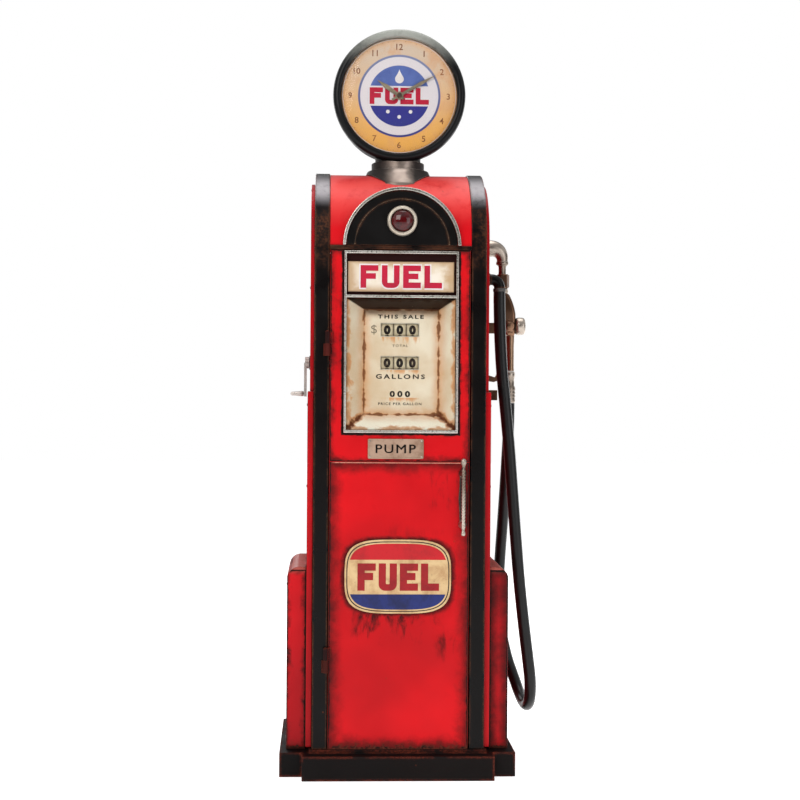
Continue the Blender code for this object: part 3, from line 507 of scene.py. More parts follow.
def make_materials():
    """Every material, by its name."""
    body, black, rust = (196, 13, 24), (7, 5, 5), (104, 60, 36)
    paints = {
        # door_red: the rim outside WINDOW is a painted shadow round the window frame, the WINDOW rectangle under
        # dark is painted shade behind the frame, and the halo is the badge's painted shadow with soot.
        "door_red": ((208, 13, 22), (172, 9, 17), dict(
            rims=[((-154.5, 153.5, 62, 694.5), "xz", True, 3.2, 36),
                  ((-154.5, 153.5, 696, 1162), "xz", True, 2.6, 17), (WINDOW, "xz", False, 5.5, 12)],
            stains=[(-112, 104, 285, 380, 1.0), (-104, 70, 338, 378, 0.9), (-120, -20, 1160, 1162, 0.5),
                    (60, 153, 590, 700, 0.8),
                    (-154, -96, 372, 470, 0.6), (70, 153, 250, 330, 0.7), (-154, -118, 220, 300, 0.8),
                    (-40, 110, 500, 560, 0.3)],
            dark=[WINDOW, (-172, -155.2, 925, 988), (-172, -155.2, 228, 290)],
            pale=[(-150, 148, 692.2, 694.2)],
            halo=(-0.0025, 0.443, 0.1175, 0.0815), front=-164.4, grime_and_shade=0.85, foot=62)),
        "body_red": (body, (158, 9, 18), dict(grime_and_shade=0.9, rims=[((-139, 139, 852, 1400), "yz", True, 1.5, 24),
                                                               ((-147, 147, 54, 849), "yz", True, 2.0, 26)])),
        "rear_red": (body, (150, 9, 17),
                     dict(grime_and_shade=0.9, foot=54, rims=[((-156, 156, 50, 1186), "xz", True, 3, 36)],
                          stains=[(-150, 150, 940, 1186, 0.5)])),
        # roof_red: its paler band is a painted highlight where the curved roof catches the light.
        "roof_red": ((208, 14, 24), (176, 10, 20), dict(grime_and_shade=0.6, fade_and_painted_highlight=(1205, 1410, (234, 84, 80), 0.8))),
        # skirt_red: its rims paint the shadow beside the body, and the wide one paints shade over the right
        # skirt's face; its band paints the skirt tops paler.
        "skirt_red": ((200, 14, 24), (156, 9, 18), dict(
            rims=[((-127, 127, 54, 459), "yz", True, 2.5, 30), ((-248, -204, 40, 453), "xz", True, 3.5, 12),
                  ((204, 248, 40, 453), "xz", True, 5, 46)],
            grime_and_shade=0.9, foot=54, edge=(70, 34, 26), wear=1.0, edge_radius=0.008,
            fade_and_painted_highlight=(440, 478, (168, 92, 80), 0.9))),
        "hinge_red": ((96, 24, 18), (56, 20, 14),
                      dict(edge=(130, 60, 34), wear=1.0, grime_and_shade=0.9, rough=0.6, coat=0.0, edge_radius=0.003)),
        # black_enamel: its pale band is a painted reflection of the bright ceiling on the frame tops; its zone is
        # rust.
        "black_enamel": ((11, 8, 8), black,
                         dict(edge=rust, wear=0.9, rough=0.27, grime_and_shade=0.4, edge_radius=0.008,
                              zone=(1110, 1270), fade_and_painted_highlight=(1255, 1350, (186, 180, 184), 0.8))),
        "arch_black": ((12, 10, 10), black, dict(edge=rust, wear=0.7, rough=0.34, grime_and_shade=0.3)),
        "plinth_black": ((15, 9, 8), (9, 6, 6),
                         dict(edge=(120, 50, 34), wear=1.0, rough=0.5, edge_radius=0.011, coat=0.0)),
        # globe_black: its pale band is a painted highlight on top of the globe's rim.
        "globe_black": ((15, 16, 18), (11, 11, 12),
                        dict(edge=(60, 50, 46), wear=0.25, grime_and_shade=0.2, rough=0.34, coat=0.1,
                             fade_and_painted_highlight=(1590, 1800, (176, 178, 170), 0.8))),
        # The arch bead's light brown is a painted highlight on a black bead.
        "bead_painted_highlight": ((96, 76, 60), (46, 36, 30), dict(edge=(170, 140, 110), wear=0.9, rough=0.35)),
        "motor_paint": ((72, 84, 86), (52, 62, 64),
                        dict(edge=(120, 116, 108), grime_and_shade=0.75, rough=0.5, coat=0.0)),
        "pump_paint": ((120, 40, 34), (88, 28, 24),
                       dict(edge=(120, 100, 84), grime_and_shade=0.8, rough=0.55, coat=0.0)),
    }
    metals = {
        "chrome": ((226, 222, 214), (186, 180, 170), (96, 78, 62), 0.28, 0.08, 0.5),
        "bezel": ((206, 198, 184), (170, 156, 140), (92, 72, 54), 0.4, 0.3, 0.6, 0.6),
        # bronze's last entry, sides, paints the collar's flanks darker as painted shade.
        "bronze": ((156, 142, 132), (96, 82, 74), (24, 16, 13), 0.36, 0.85, 0.9, 0.9, (0.008, 0.04)),
        "brass": ((144, 116, 94), (78, 60, 48), (28, 20, 16), 0.36, 0.9, 0.9),
        "copper": ((142, 108, 86), (78, 55, 42), (30, 20, 15), 0.34, 0.9, 0.9),
        "steel": ((182, 170, 158), (104, 91, 80), (40, 30, 25), 0.34, 0.85, 0.8),
        "iron": ((96, 94, 92), (66, 64, 62), (38, 26, 20), 0.5, 0.7, 0.5, 0.8),
        "pipe": ((204, 196, 190), (150, 142, 136), (78, 58, 44), 0.4, 0.6, 0.4),
    }
    prints = {
        "plate_tan": ((164, 136, 116), (104, 72, 48), 0.5, 0.95),
        "badge_cream": ((206, 176, 130), (160, 116, 74), 0.4, 0.9),
        "badge_red": ((184, 20, 30), (140, 20, 24), 0.35),
        "badge_navy": ((28, 40, 104), (20, 22, 50), 0.35),
        "badge_crimson": ((150, 16, 24), (108, 14, 18), 0.4),
        "dial_white": ((216, 208, 210), (196, 180, 176), 0.45, 0.4),
        "ink_black": ((26, 20, 18), (58, 42, 34), 0.55),
        "ink_grey": ((110, 98, 84), (160, 142, 118), 0.55),
        "ink_brown": ((120, 70, 44), (172, 108, 66), 0.5, 0.9),
        "ink_crimson": ((176, 14, 50), (140, 14, 42), 0.4),
        "wheel_cream": ((206, 190, 162), (160, 136, 104), 0.5),
    }
    made = {name: worn_paint(name, colour, shade, **more) for name, (colour, shade, more) in paints.items()}
    made.update({name: aged_metal(name, *row) for name, row in metals.items()})
    made.update({name: make_print(name, *row) for name, row in prints.items()})
    made.update(cream_tray=make_tray(), sign_cream=make_sign(), dial=make_dial(), rubber=make_rubber(),
                belt=make_belt(), glass=make_glass(), lamp_glass=make_lamp_glass())
    return made


# ---------------------------------------------------------------- shapes


def mesh_object(corners, faces):
    """One mesh from corners in millimetres, its faces turned outwards."""
    mesh = bpy.data.meshes.new("part")
    mesh.from_pydata([(x / 1000, y / 1000, z / 1000) for x, y, z in corners], [], faces)
    work = bmesh.new()
    work.from_mesh(mesh)
    bmesh.ops.remove_doubles(work, verts=work.verts, dist=1e-7)
    bmesh.ops.recalc_face_normals(work, faces=work.faces)
    work.to_mesh(mesh)
    work.free()
    return linked("part", mesh)


def placed(axis, across, up, along):
    return {"x": (along, across, up), "y": (across, along, up), "z": (across, up, along)}[axis]


def prism(outline, axis, low, high):
    count = len(outline)
    corners = [placed(axis, a, b, along) for along in (low, high) for a, b in outline]
    faces = [tuple(range(count)), tuple(range(2 * count - 1, count - 1, -1))]
    faces += [(i, (i + 1) % count, count + (i + 1) % count, count + i) for i in range(count)]
    return mesh_object(corners, faces)


def block(x0, x1, y0, y1, z0, z1):
    return prism([(x0, y0), (x1, y0), (x1, y1), (x0, y1)], "z", z0, z1)


def circle(radius, centre=(0, 0), steps=48, start=0.0, sweep=360.0):
    last = steps if sweep >= 360 else steps - 1
    turns = [math.radians(start + sweep * i / last) for i in range(steps)]
    return [(centre[0] + radius * math.cos(t), centre[1] + radius * math.sin(t)) for t in turns]


def turned(material, profile, axis, centre, steps=64, sharp=38):
    """Revolves (radius, along) points about an axis through the centre."""
    corners = [placed(axis, a, b, along) for radius, along in profile for a,
               b in circle(radius, centre, steps)]
    rows, faces = len(profile), []
    for row in range(rows if profile[0][0] > 0 else rows - 1):
        after = (row + 1) % rows
        for i in range(steps):
            j = (i + 1) % steps
            quad = [row * steps + i, row * steps + j, after * steps + j, after * steps + i]
            if profile[row][0] == 0:
                quad = quad[1:]
            elif profile[after][0] == 0:
                quad = quad[:3]
            faces.append(tuple(quad))
    return dress(mesh_object(corners, faces), material, sharp=sharp)


def smooth_path(points, step):
    """A Catmull-Rom curve through the points, sampled about every step."""
    points = [Vector(p) for p in points]
    ends = [2 * points[0] - points[1]] + points + [2 * points[-1] - points[-2]]
    found = [points[0]]
    for a, b, c, d in zip(ends, ends[1:], ends[2:], ends[3:]):
        count = max(1, round((c - b).length / step))
        for i in range(1, count + 1):
            t = i / count
            found.append(0.5 * (2 * b + (c - a) * t + (2 * a - 5 * b + 4 * c - d) * t * t
                                + (3 * b - a - 3 * c + d) * t**3))
    return found


def rounded_path(points, radius, steps):
    """A path of straight lines with its corners rounded."""
    points = [Vector(p) for p in points]
    found = [points[0]]
    for before, corner, after in zip(points, points[1:], points[2:]):
        to_before, to_after = (before - corner).normalized(), (after - corner).normalized()
        half = to_before.angle(to_after) / 2
        reach = radius / math.tan(half)
        middle = corner + (to_before + to_after).normalized() * radius / math.sin(half)
        start, end = corner + to_before * reach - middle, corner + to_after * reach - middle
        axis, sweep = start.cross(end), start.angle(end)
        found += [middle + Matrix.Rotation(sweep * i / steps, 3, axis) @ start for i in range(steps + 1)]
    return found + [points[-1]]


def tube(path, radius, steps):
    """A round bar along a path. The radius is one number, or one for each point."""
    radii = radius if isinstance(radius, list) else [radius] * len(path)
    ways = [(path[min(i + 1, len(path) - 1)] - path[max(i - 1, 0)]).normalized() for i in range(len(path))]
    side = ways[0].orthogonal().normalized()
    corners, faces = [], []
    for at, way, r in zip(path, ways, radii):
        side = (side - way * side.dot(way)).normalized()
        other = way.cross(side)
        corners += [at + side * a + other * b for a, b in circle(r, steps=steps)]
    last = (len(path) - 1) * steps
    for start in range(0, last, steps):
        faces += [(start + i, start + (i + 1) % steps, start + steps + (i + 1) % steps, start + steps + i)
                  for i in range(steps)]
    faces += [tuple(range(steps)), tuple(range(last, last + steps))]
    return mesh_object(corners, faces)


def merge(parts):
    """Several objects made one mesh, each keeping its own materials."""
    work = bmesh.new()
    materials = []
    graph = bpy.context.evaluated_depsgraph_get()
    for part in parts:
        bpy.context.view_layer.update()
        mesh = bpy.data.meshes.new_from_object(part.evaluated_get(graph))
        mesh.transform(part.matrix_world)
        slots = []
        for material in mesh.materials:
            if material not in materials:
                materials.append(material)
            slots.append(materials.index(material))
        for face in mesh.polygons:
            face.material_index = slots[face.material_index]
        work.from_mesh(mesh)
        bpy.data.meshes.remove(mesh)
        bpy.data.objects.remove(part)
    made = bpy.data.meshes.new("merged")
    work.to_mesh(made)
    work.free()
    for material in materials:
        made.materials.append(material)
    return linked("merged", made)


def dress(obj, material, bevel=0.0, segments=2, sharp=38):
    """Gives a mesh its material, rounded edges in millimetres, and smooth shading between sharp edges."""
    obj.data.materials.clear()
    obj.data.materials.append(LOOK[material])
    obj.data.shade_smooth()
    if bevel:
        rounding = obj.modifiers.new("rounding", "BEVEL")
        rounding.width, rounding.segments = bevel / 1000, segments
        rounding.limit_method, rounding.angle_limit = "ANGLE", math.radians(sharp)
        obj.modifiers.new("normals", "WEIGHTED_NORMAL").keep_sharp = True
    else:
        obj.data.set_sharp_from_angle(angle=math.radians(sharp))
    return obj


def show(made, name, body, slot, *stands_for):
    """Names a finished piece, or a list of parts as one piece, and puts it on its body."""
    obj = merge(made) if isinstance(made, list) else made
    obj.name = obj.data.name = name
    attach(obj, body)
    if stands_for:
        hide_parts(*stands_for)


def stand_in(made, node):
    """Shows a finished piece in a CAD node's stead, on the node's own body."""
    show(made, node + "_look", BODY[node], SLOT[node], node)



def refined(node, material, bevel=0.8, segments=2, sharp=30):
    """A CAD node again as one clean mesh with rounded edges, shown in its stead."""
    work = bmesh.new()
    work.from_mesh(frame["nodes"][node].data)
    bmesh.ops.remove_doubles(work, verts=work.verts, dist=2e-6)
    bmesh.ops.dissolve_limit(work, angle_limit=math.radians(1), verts=work.verts, edges=work.edges)
    mesh = bpy.data.meshes.new(node)
    work.to_mesh(mesh)
    work.free()
    stand_in(dress(linked("part", mesh), material, bevel, segments, sharp), node)


def lettering(text, size, at, material, wide=1.0, spacing=1.0, bold=0.0, deep=0.12, span=None):
    """Flat characters on a front face, centred on a point: size their height, span, if given, their width."""
    data = bpy.data.curves.new("print", "FONT")
    data.body, data.size, data.resolution_u = text, 1.0, 3
    data.space_character, data.offset = spacing, bold
    data.align_x, data.align_y = "CENTER", "CENTER"
    curve = linked("print", data)
    bpy.context.view_layer.update()
    mesh = bpy.data.meshes.new_from_object(curve.evaluated_get(bpy.context.evaluated_depsgraph_get()))
    bpy.data.objects.remove(curve)
    xs, ys = [v.co.x for v in mesh.vertices], [v.co.y for v in mesh.vertices]
    left, right, low, high = min(xs), max(xs), min(ys), max(ys)
    scale = size / (high - low)
    across = span / (right - left) if span else scale * wide
    made = bmesh.new()
    made.from_mesh(mesh)
    bmesh.ops.remove_doubles(made, verts=made.verts, dist=1e-5)
    faces = bmesh.ops.extrude_face_region(made, geom=made.faces[:])["geom"]
    bmesh.ops.translate(made, vec=(0, 0, 1), verts=[g for g in faces if isinstance(g, bmesh.types.BMVert)])
    bmesh.ops.recalc_face_normals(made, faces=made.faces)
    for v in made.verts:
        x, z = (v.co.x - (left + right) / 2) * across, (v.co.y - (low + high) / 2) * scale
        v.co = Vector((at[0] + x, at[1] - deep * v.co.z, at[2] + z)) / 1000
    made.to_mesh(mesh)
    made.free()
    mesh.materials.clear()
    mesh.materials.append(LOOK[material])
    return linked("print", mesh)


def block_word(wide, tall, stroke, at, material, gap, deep=0.3):
    """The word FUEL in heavy block capitals, centred on a point of a front face."""
    word = "FUEL"
    w, h, s, m = wide / (len(word) + gap * (len(word) - 1)), tall, stroke, tall * 0.52
    arms = [(s, m - s / 2), (w * 0.86, m - s / 2), (w * 0.86, m + s / 2), (s, m + s / 2), (s, h - s),
            (w, h - s), (w, h), (0, h)]
    foot = [(0, 0), (w, 0), (w, s), (s, s)]
    turn = [math.radians(180 + 15 * i) for i in range(7)]
    outer, inner, lift = w * 0.36, max(w * 0.36 - s, 1.5), s * 0.9
    left = [(outer + outer * math.cos(t), outer + outer * math.sin(t)) for t in turn]
    hole = [(s + inner + inner * math.cos(t), lift + inner + inner * math.sin(t)) for t in turn]
    bowl = [(0, h)] + left + [(w - x, z) for x, z in left[::-1]] + [(w, h), (w - s, h)]
    shapes = {"F": [(0, 0), (s, 0)] + arms, "U": bowl + [(w - x, z) for x, z in hole] + hole[::-1] + [(s, h)],
              "E": foot + arms, "L": foot + [(s, h), (0, h)]}
    parts = []
    for n, letter in enumerate(word):
        start = at[0] - wide / 2 + n * w * (1 + gap)
        outline = [(start + x, at[2] - tall / 2 + z) for x, z in shapes[letter]]
        parts.append(dress(prism(outline, "y", at[1] - deep, at[1]), material))
    return parts


def drop(centre, tall, steps=36):
    """The outline of a fuel drop, its point up."""
    x, z = centre
    radius = tall * 0.31
    found = circle(radius, (x, z - tall / 2 + radius), steps + 1, -215, 250)
    tip = (x, z + tall / 2)
    for start, end, bulge in ((found[-1], tip, 0.03 * tall), (tip, found[0], -0.03 * tall)):
        middle = ((start[0] + end[0]) / 2 - bulge, (start[1] + end[1]) / 2 - 0.02 * tall)
        for k in (0.25, 0.5, 0.75, 1.0):
            a, b, c = (1 - k) ** 2, 2 * k * (1 - k), k * k
            found.append((a * start[0] + b * middle[0] + c * end[0],
                          a * start[1] + b * middle[1] + c * end[1]))
    return found[:-1]


def screw_heads(name, axis, out, xs, zs, more=()):
    """Round heads in rows on a flat face. out is its place along the axis, and its sign the way it faces."""
    way, radius = (1 if out > 0 else -1), 3.6
    profile = [(0, out + way * radius * 0.42), (radius * 0.55, out + way * radius * 0.36),
               (radius * 0.9, out + way * radius * 0.18), (radius, out - way * 0.1), (0, out - way * 0.1)]
    heads = [turned("iron", profile, axis, spot, 16)
             for spot in [(x, z) for z in zs for x in xs] + list(more)]
    show(heads, name, "cabinet", "red_paint")


# ---------------------------------------------------------------- the hose

# The hose's centre line, from the outlet down, round the bottom and up to the ferrule.
HOSE_ROUTE = [OUTLET, (231.5, -60, 1066), (231.8, -60, 1045), (234.2, -60, 970), (239, -60, 895),
              (246.6, -60, 822),
              (256.4, -60, 722), (265, -60, 617), (273.2, -60, 513), (282.3, -60, 410), (294, -60, 307),
              (302.7, -60, 239),
              (308.3, -58, 190), (309.5, -44, 150), (309, -10, 126), (306, 30, 124), (301, 66, 138),
              (291, 92, 170),
              (278, 114, 212), (267, 136, 270), (261.5, 148.5, 335), (261, 152, 380), (263.8, 146, 455),
              (267, 133, 529),
              (269, 113, 603), (269.5, 84, 677), (269.8, 62, 735), (HOSE_X, 52.5, 775), (HOSE_X, 50, 800),
              FERRULE]
HOSE_RADIUS = 13.4  # the rubber of the 27 mm hose, a little inside its CAD solid


def make_hose():
    path = smooth_path(HOSE_ROUTE, 12)
    hose = dress(tube(path, HOSE_RADIUS, 28), "rubber", sharp=60)
    hose.name = hose.data.name = "hose_rubber"
    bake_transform(hose)
    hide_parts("hose")
    length = sum((b - a).length for a, b in zip(path, path[1:])) / 1000
    [p / 1000 for p in path]


# ---------------------------------------------------------------- the pieces


def make_cabinet():
    refined("plinth", "plinth_black", 2.2, 3)
    for side in ("left", "right"):
        refined(side + "_frame", "black_enamel", 2.6, 3)
        refined(side + "_upper_side", "body_red", 2.2, 3)
        refined(side + "_lower_side", "body_red", 2.2, 3)
        refined(side + "_skirt", "skirt_red", 1.6)
    refined("roof_shell", "roof_red", 0.6)
    refined("rear_panel", "rear_red", 1.2)
    refined("header_band", "black_enamel", 1.2)
    make_arch()
    refined("door_hinge_upper", "hinge_red")
    refined("door_hinge_lower", "hinge_red")
    refined("globe_collar", "bronze", 1.4, 3)


def make_arch():
    refined("arch_panel", "arch_black")
    trim = [(x, max(z, 1172.3)) for x,
            z in circle(130.5, ARCH, 80, 0, 180) + circle(123.5, ARCH, 80, 180, -180)]
    stand_in(dress(prism(trim, "y", -175, -166.3), "chrome", 1.6, 3), "arch_trim")
    steps, corners = 64, []
    for radius, height in ((102, 0), (103, 1.6), (104, 2.2), (105, 1.6), (106, 0)):
        corners += [(x, -170 - height, z) for x, z in circle(radius, ARCH, steps, 2, 176)]
    faces = [(at, at + 1, at + steps + 1, at + steps) for at in range(4 * steps) if at % steps < steps - 1]
    # The arch bead in a light brown: a painted highlight on a black bead.
    show(dress(mesh_object(corners, faces), "bead_painted_highlight", sharp=60), "arch_bead", "cabinet", "black_enamel")
    rim = [(25.2, -171), (25.2, -177), (26.4, -179), (28.5, -180), (31, -179.2), (32.8, -176.5),
           (33.5, -172.4), (33.5, -170)]
    stand_in(turned("bezel", rim, "y", LAMP, sharp=60), "lamp_bezel")
    dome = [(0, -186)] + [(24.6 * math.sin(t), -172 - 14 * math.cos(t))
                          for t in (math.radians(a) for a in range(10, 91, 8))]
    dome += [(24.6, -164), (0, -164)]
    stand_in(turned("lamp_glass", dome, "y", LAMP, sharp=60), "lamp_lens")


def make_clock():
    centre = (0, GLOBE_Z)
    case = [(0, 58), (122, 56), (128, 52.4), (133, 44), (141, -36), (143.6, -37), (143.6, -44), (132.6, -44),
            (132.6, -54.5),
            (133.2, -58), (135, -60.4), (138.6, -61.8), (143, -61.6), (147, -59.8), (150, -56), (151.6, -51),
            (151.6, -40),
            (150.4, -37), (148, -35), (140.8, 42), (139.4, 49), (136, 55), (131, 58.6), (124, 60.6), (0, 62)]
    stand_in(turned("globe_black", case, "y", centre, 128, 50), "globe_case")
    refined("clock_dial", "dial", 0.0)
    glass = [(0, -63), (50, -62), (95, -59.5), (130.4, -55), (130.4, -53), (95, -57.5), (50, -60), (0, -61)]
    stand_in(turned("glass", glass, "y", centre, 96, 60), "clock_glass")
    refined("clock_movement", "iron", 1.0)
    parts = []
    for hour, (x, z) in enumerate(circle(112.5, centre, 12, 60, -360 * 11 / 12), 1):
        parts.append(lettering(str(hour), 14, (x, DIAL_Y, z), "ink_brown", bold=0.01))
    rim = [(129.4, -46.3), (130.4, -46.3), (130.4, -46.02), (129.4, -46.02)]
    parts.append(turned("dial_white", rim, "y", centre, 96))
    for minute in range(60):
        if minute % 5:
            t = math.radians(6 * minute)
            out, along = Vector((math.cos(t), 0, math.sin(t))), Vector((-math.sin(t), 0, math.cos(t)))
            at = Vector((0, DIAL_Y - 0.1, GLOBE_Z)) + out * 125.5
            tick = [at + out * 1.2 * a + along * 0.35 * b for a, b in ((-1, -1), (1, -1), (1, 1), (-1, 1))]
            parts.append(dress(mesh_object(tick, [(0, 1, 2, 3)]), "ink_brown"))
    parts += block_word(136, 38, 11, (0, DIAL_Y, GLOBE_Z), "ink_crimson", 0.16)
    parts.append(dress(prism(drop((0, GLOBE_Z + 45), 32), "y", -46.3, -46.0), "dial_white"))
    for x, z in ((-26, -36), (0, -48), (26, -36)):
        parts.append(turned("dial_white", [(0, -46.3), (4.2, -46.3), (4.2, -46.0), (0, -46.0)], "y",
                            (x, GLOBE_Z + z), 20))
    show(parts, "dial_print", "cabinet", "dial_print")
    refined("hour_hand", "ink_grey", 0.3)
    refined("minute_hand", "ink_grey", 0.3)
    cap = [(0, -54.5), (4, -54), (6.5, -52.6), (6.5, -51.9), (0, -51.9)]
    show(turned("brass", cap, "y", centre, 32, 60), "hand_cap", "minute_hand", "hand_metal")


def make_door():
    refined("door_sheet", "door_red", 1.4, 3)
    refined("window_frame", "chrome", 1.3, 3)
    refined("window_glass", "glass", 0.3)
    refined("sign_panel", "sign_cream", 1.0)
    sign = block_word(186, 56, 15, (1, -163.0, 1103.5), "dial_white", 0.15, 0.2)
    sign += block_word(180, 50, 12.5, (1, -163.1, 1103.5), "ink_crimson", 0.2, 0.4)
    show(sign, "sign_print", "door", "sign_enamel")
    refined("name_plate", "plate_tan", 0.6)
    parts = [lettering("PUMP", 19, (x, -167.1, z), "ink_black", spacing=1.2, deep=0.35, span=88)
             for x, z in ((-9.4, 724.2), (-8.6, 723.8))]
    pin = [(0, -168.9), (1.6, -168.6), (2.2, -168), (0, -167.9)]
    parts += [turned("steel", pin, "y", (x, z), 12) for z in (741.5, 706.5) for x in (-65.8, 47.8)]
    show(parts, "name_print", "door", "name_plate")
    make_badge()
    make_handle()


def oval(wide, tall, steps=120, low=-200.0, high=200.0):
    """The badge's rounded outline, or the part of it between two heights from its middle."""
    found = []
    for i in range(steps):
        t = 2 * math.pi * (i + 0.5) / steps
        x, z = (math.copysign(abs(v) ** (2 / BADGE_POWER), v) for v in (math.cos(t), math.sin(t)))
        found.append((BADGE[0] + x * wide / 2, BADGE[1] + min(max(z * tall / 2, low), high)))
    within = [low < z - BADGE[1] < high for _, z in found]
    return [p for i, p in enumerate(found) if within[i] or within[i - 1] or within[(i + 1) % steps]]


def make_badge():
    plate = dress(prism(oval(235, 163), "y", -168.4, -165.3), "badge_cream", 0.9, 3)
    stand_in(plate, "badge_plate")
    layers = ((oval(227, 155), -168.55, "ink_black"), (oval(222.5, 150.5), -168.7, "badge_cream"),
              (oval(217, 145, low=37), -168.9, "badge_red"), (oval(217, 145, high=-39), -168.9, "badge_navy"))
    parts = [dress(prism(outline, "y", out, out + 0.4), material) for outline, out, material in layers]
    parts += block_word(180, 60, 16, (BADGE[0] + 1, -168.7, BADGE[1] - 1), "badge_crimson", 0.16)
    show(parts, "badge_print", "door", "badge_enamel")


def make_handle():
    """A ribbed upright bar on two posts, over a long plate with a wavy edge."""
    plate = []
    for i in range(40):
        t = 2 * math.pi * i / 40
        wave = 1.2 * math.cos(8 * t)
        plate.append((HANDLE_X + (7.6 + wave * 0.4) * math.cos(t), 615 + (71 + wave) * math.sin(t)))
    bar = [(0, 534.5), (3.6, 535), (4.9, 538), (4.9, 543), (3.4, 546), (3.4, 549)]
    for z in (551.5 + 7.2 * k for k in range(18)):
        bar += [(3.4, z), (4.8, z + 1.5), (4.8, z + 4.5), (3.4, z + 6)]
    bar += [(3.6, 688), (5.0, 691), (6.8, 696), (5.6, 701.5), (3, 704), (0, 704.6)]
    post = [(0, -190), (3.6, -190), (3.6, -178), (5, -174), (8, -170), (8.8, -167), (0, -166)]
    parts = [dress(prism(plate, "y", -168, -165.3), "bronze", 0.8),
             turned("steel", bar, "z", (HANDLE_X, -188), 28, 60)]
    parts += [turned("steel", post, "y", (HANDLE_X, z), 24, 60) for z in (671, 558)]
    stand_in(parts, "door_handle")


def make_display():
    refined("display_mask", "cream_tray", 0.5)
    parts = []
    texts = (("THIS SALE", 9, (3, 1018), "ink_black", 103, 1.4, 0.035),
             ("$", 22, (-57, SALE_Z), "ink_grey", 13, 1, 0.0),
             ("TOTAL", 5.5, (2, 953), "ink_grey", 35, 1.3, 0.02),
             ("GALLONS", 10.5, (3, 884), "ink_black", 110, 1.4, 0.03),
             ("0 0 0", 14, (2, 845), "ink_black", 46, 1, 0.05),
             ("PRICE PER GALLON", 6, (2, 823), "ink_black", 97, 1.3, 0.025))
    for text, size, (x, z), ink, across, spacing, bold in texts:
        parts.append(lettering(text, size, (x, DIAL_PLATE_Y - 0.02, z), ink, 1.0, spacing, bold, 0.1, across))
    reach, tall, rim, x = 42.0, 14.0, 1.6, WHEEL_X["units"]
    for level in (SALE_Z, GALLONS_Z):
        for x0, x1, z0, z1 in ((-reach, reach, tall, tall + rim), (-reach, reach, -tall - rim, -tall),
                               (-reach - rim, -reach, -tall - rim, tall + rim),
                               (reach, reach + rim, -tall - rim, tall + rim)):
            parts.append(dress(block(x + x0, x + x1, -117.7, -116.9, level + z0, level + z1), "bezel", 0.3))
        for bar in (x - 14.2, x + 14.2):
            parts.append(dress(block(bar - 0.6, bar + 0.6, -117.3, -115.6, level - 13.9, level + 13.9),
                               "ink_black"))
    show(parts, "dial_plate_print", "cabinet", "dial_enamel")
    for row, level in (("sale", SALE_Z), ("gallons", GALLONS_Z)):
        for place, x in WHEEL_X.items():
            make_wheel(f"{row}_wheel_{place}", x, level)
    refined("register_frame", "pipe", 1.0)


def make_wheel(node, x, level):
    """A drum with the digits 0 to 9 printed round it, 0 to the front at rest."""
    half = [(4.5, 13.6), (33, 13.6), (34.6, 13.4), (35.2, 12.6)]
    profile = [(radius, x - out) for radius, out in half] + [(radius, x + out) for radius, out in half[::-1]]
    parts = [turned("wheel_cream", profile, "x", (WHEEL_Y, level), 80, 50)]
    for digit in range(10):
        figure = lettering(str(digit), 21.5, (x, 0, 0), "ink_black", wide=1.05, bold=0.08)
        for v in figure.data.vertices:
            around = v.co.z * 1000 / WHEEL_FACE + math.radians(36 * digit)
            radius = WHEEL_FACE - v.co.y * 1000
            v.co.y = (WHEEL_Y - radius * math.cos(around)) / 1000
            v.co.z = (level + radius * math.sin(around)) / 1000
        parts.append(figure)
    stand_in(parts, node)


def make_left_side():
    refined("crank_boss", "iron", 0.4)
    refined("reset_crank", "pipe", 0.9, 3)
    grip = [(3.3, -213.6), (5.2, -213.7), (5.8, -215), (5.9, -221), (5, -230), (4.5, -236), (4.4, -239.5),
            (3.9, -241.3), (3.3, -241.4)]
    stand_in(turned("pipe", grip, "x", (WHEEL_Y, 844.5), 32, 60), "crank_grip")


def make_right_side():
    x, y, _ = OUTLET
    flange = [(0, 199.3), (20, 199.3), (20, 202.6), (19, 204), (14.4, 205), (14.2, 209.6), (0, 210)]
    bend = rounded_path([(205, y, ELBOW_Z), (x, y, ELBOW_Z), (x, y, 1081)], 18, 12)
    collar = [(0, 1080.4), (13.8, 1080.4), (14.5, 1081.4), (14.5, 1086.6), (13.6, 1087.9), (0, 1087.9)]
    bolt = [(0, 206.0), (2, 205.8), (2.6, 205), (2.6, 203.6), (0, 203.6)]
    parts = [turned("black_enamel", flange, "x", (y, ELBOW_Z), 40, 50),
             dress(tube(bend, 12.4, 32), "black_enamel"), turned("iron", collar, "z", (x, y), 32, 50)]
    parts += [turned("iron", bolt, "x", spot, 12) for spot in circle(16.6, (y, ELBOW_Z), 4, 45)]
    stand_in(parts, "hose_outlet")
    refined("spout_socket", "steel", 0.6)
    refined("nozzle_hanger", "copper", 1.4, 3)
    refined("hook_lever", "copper", 1.0, 3)
    make_nozzle()


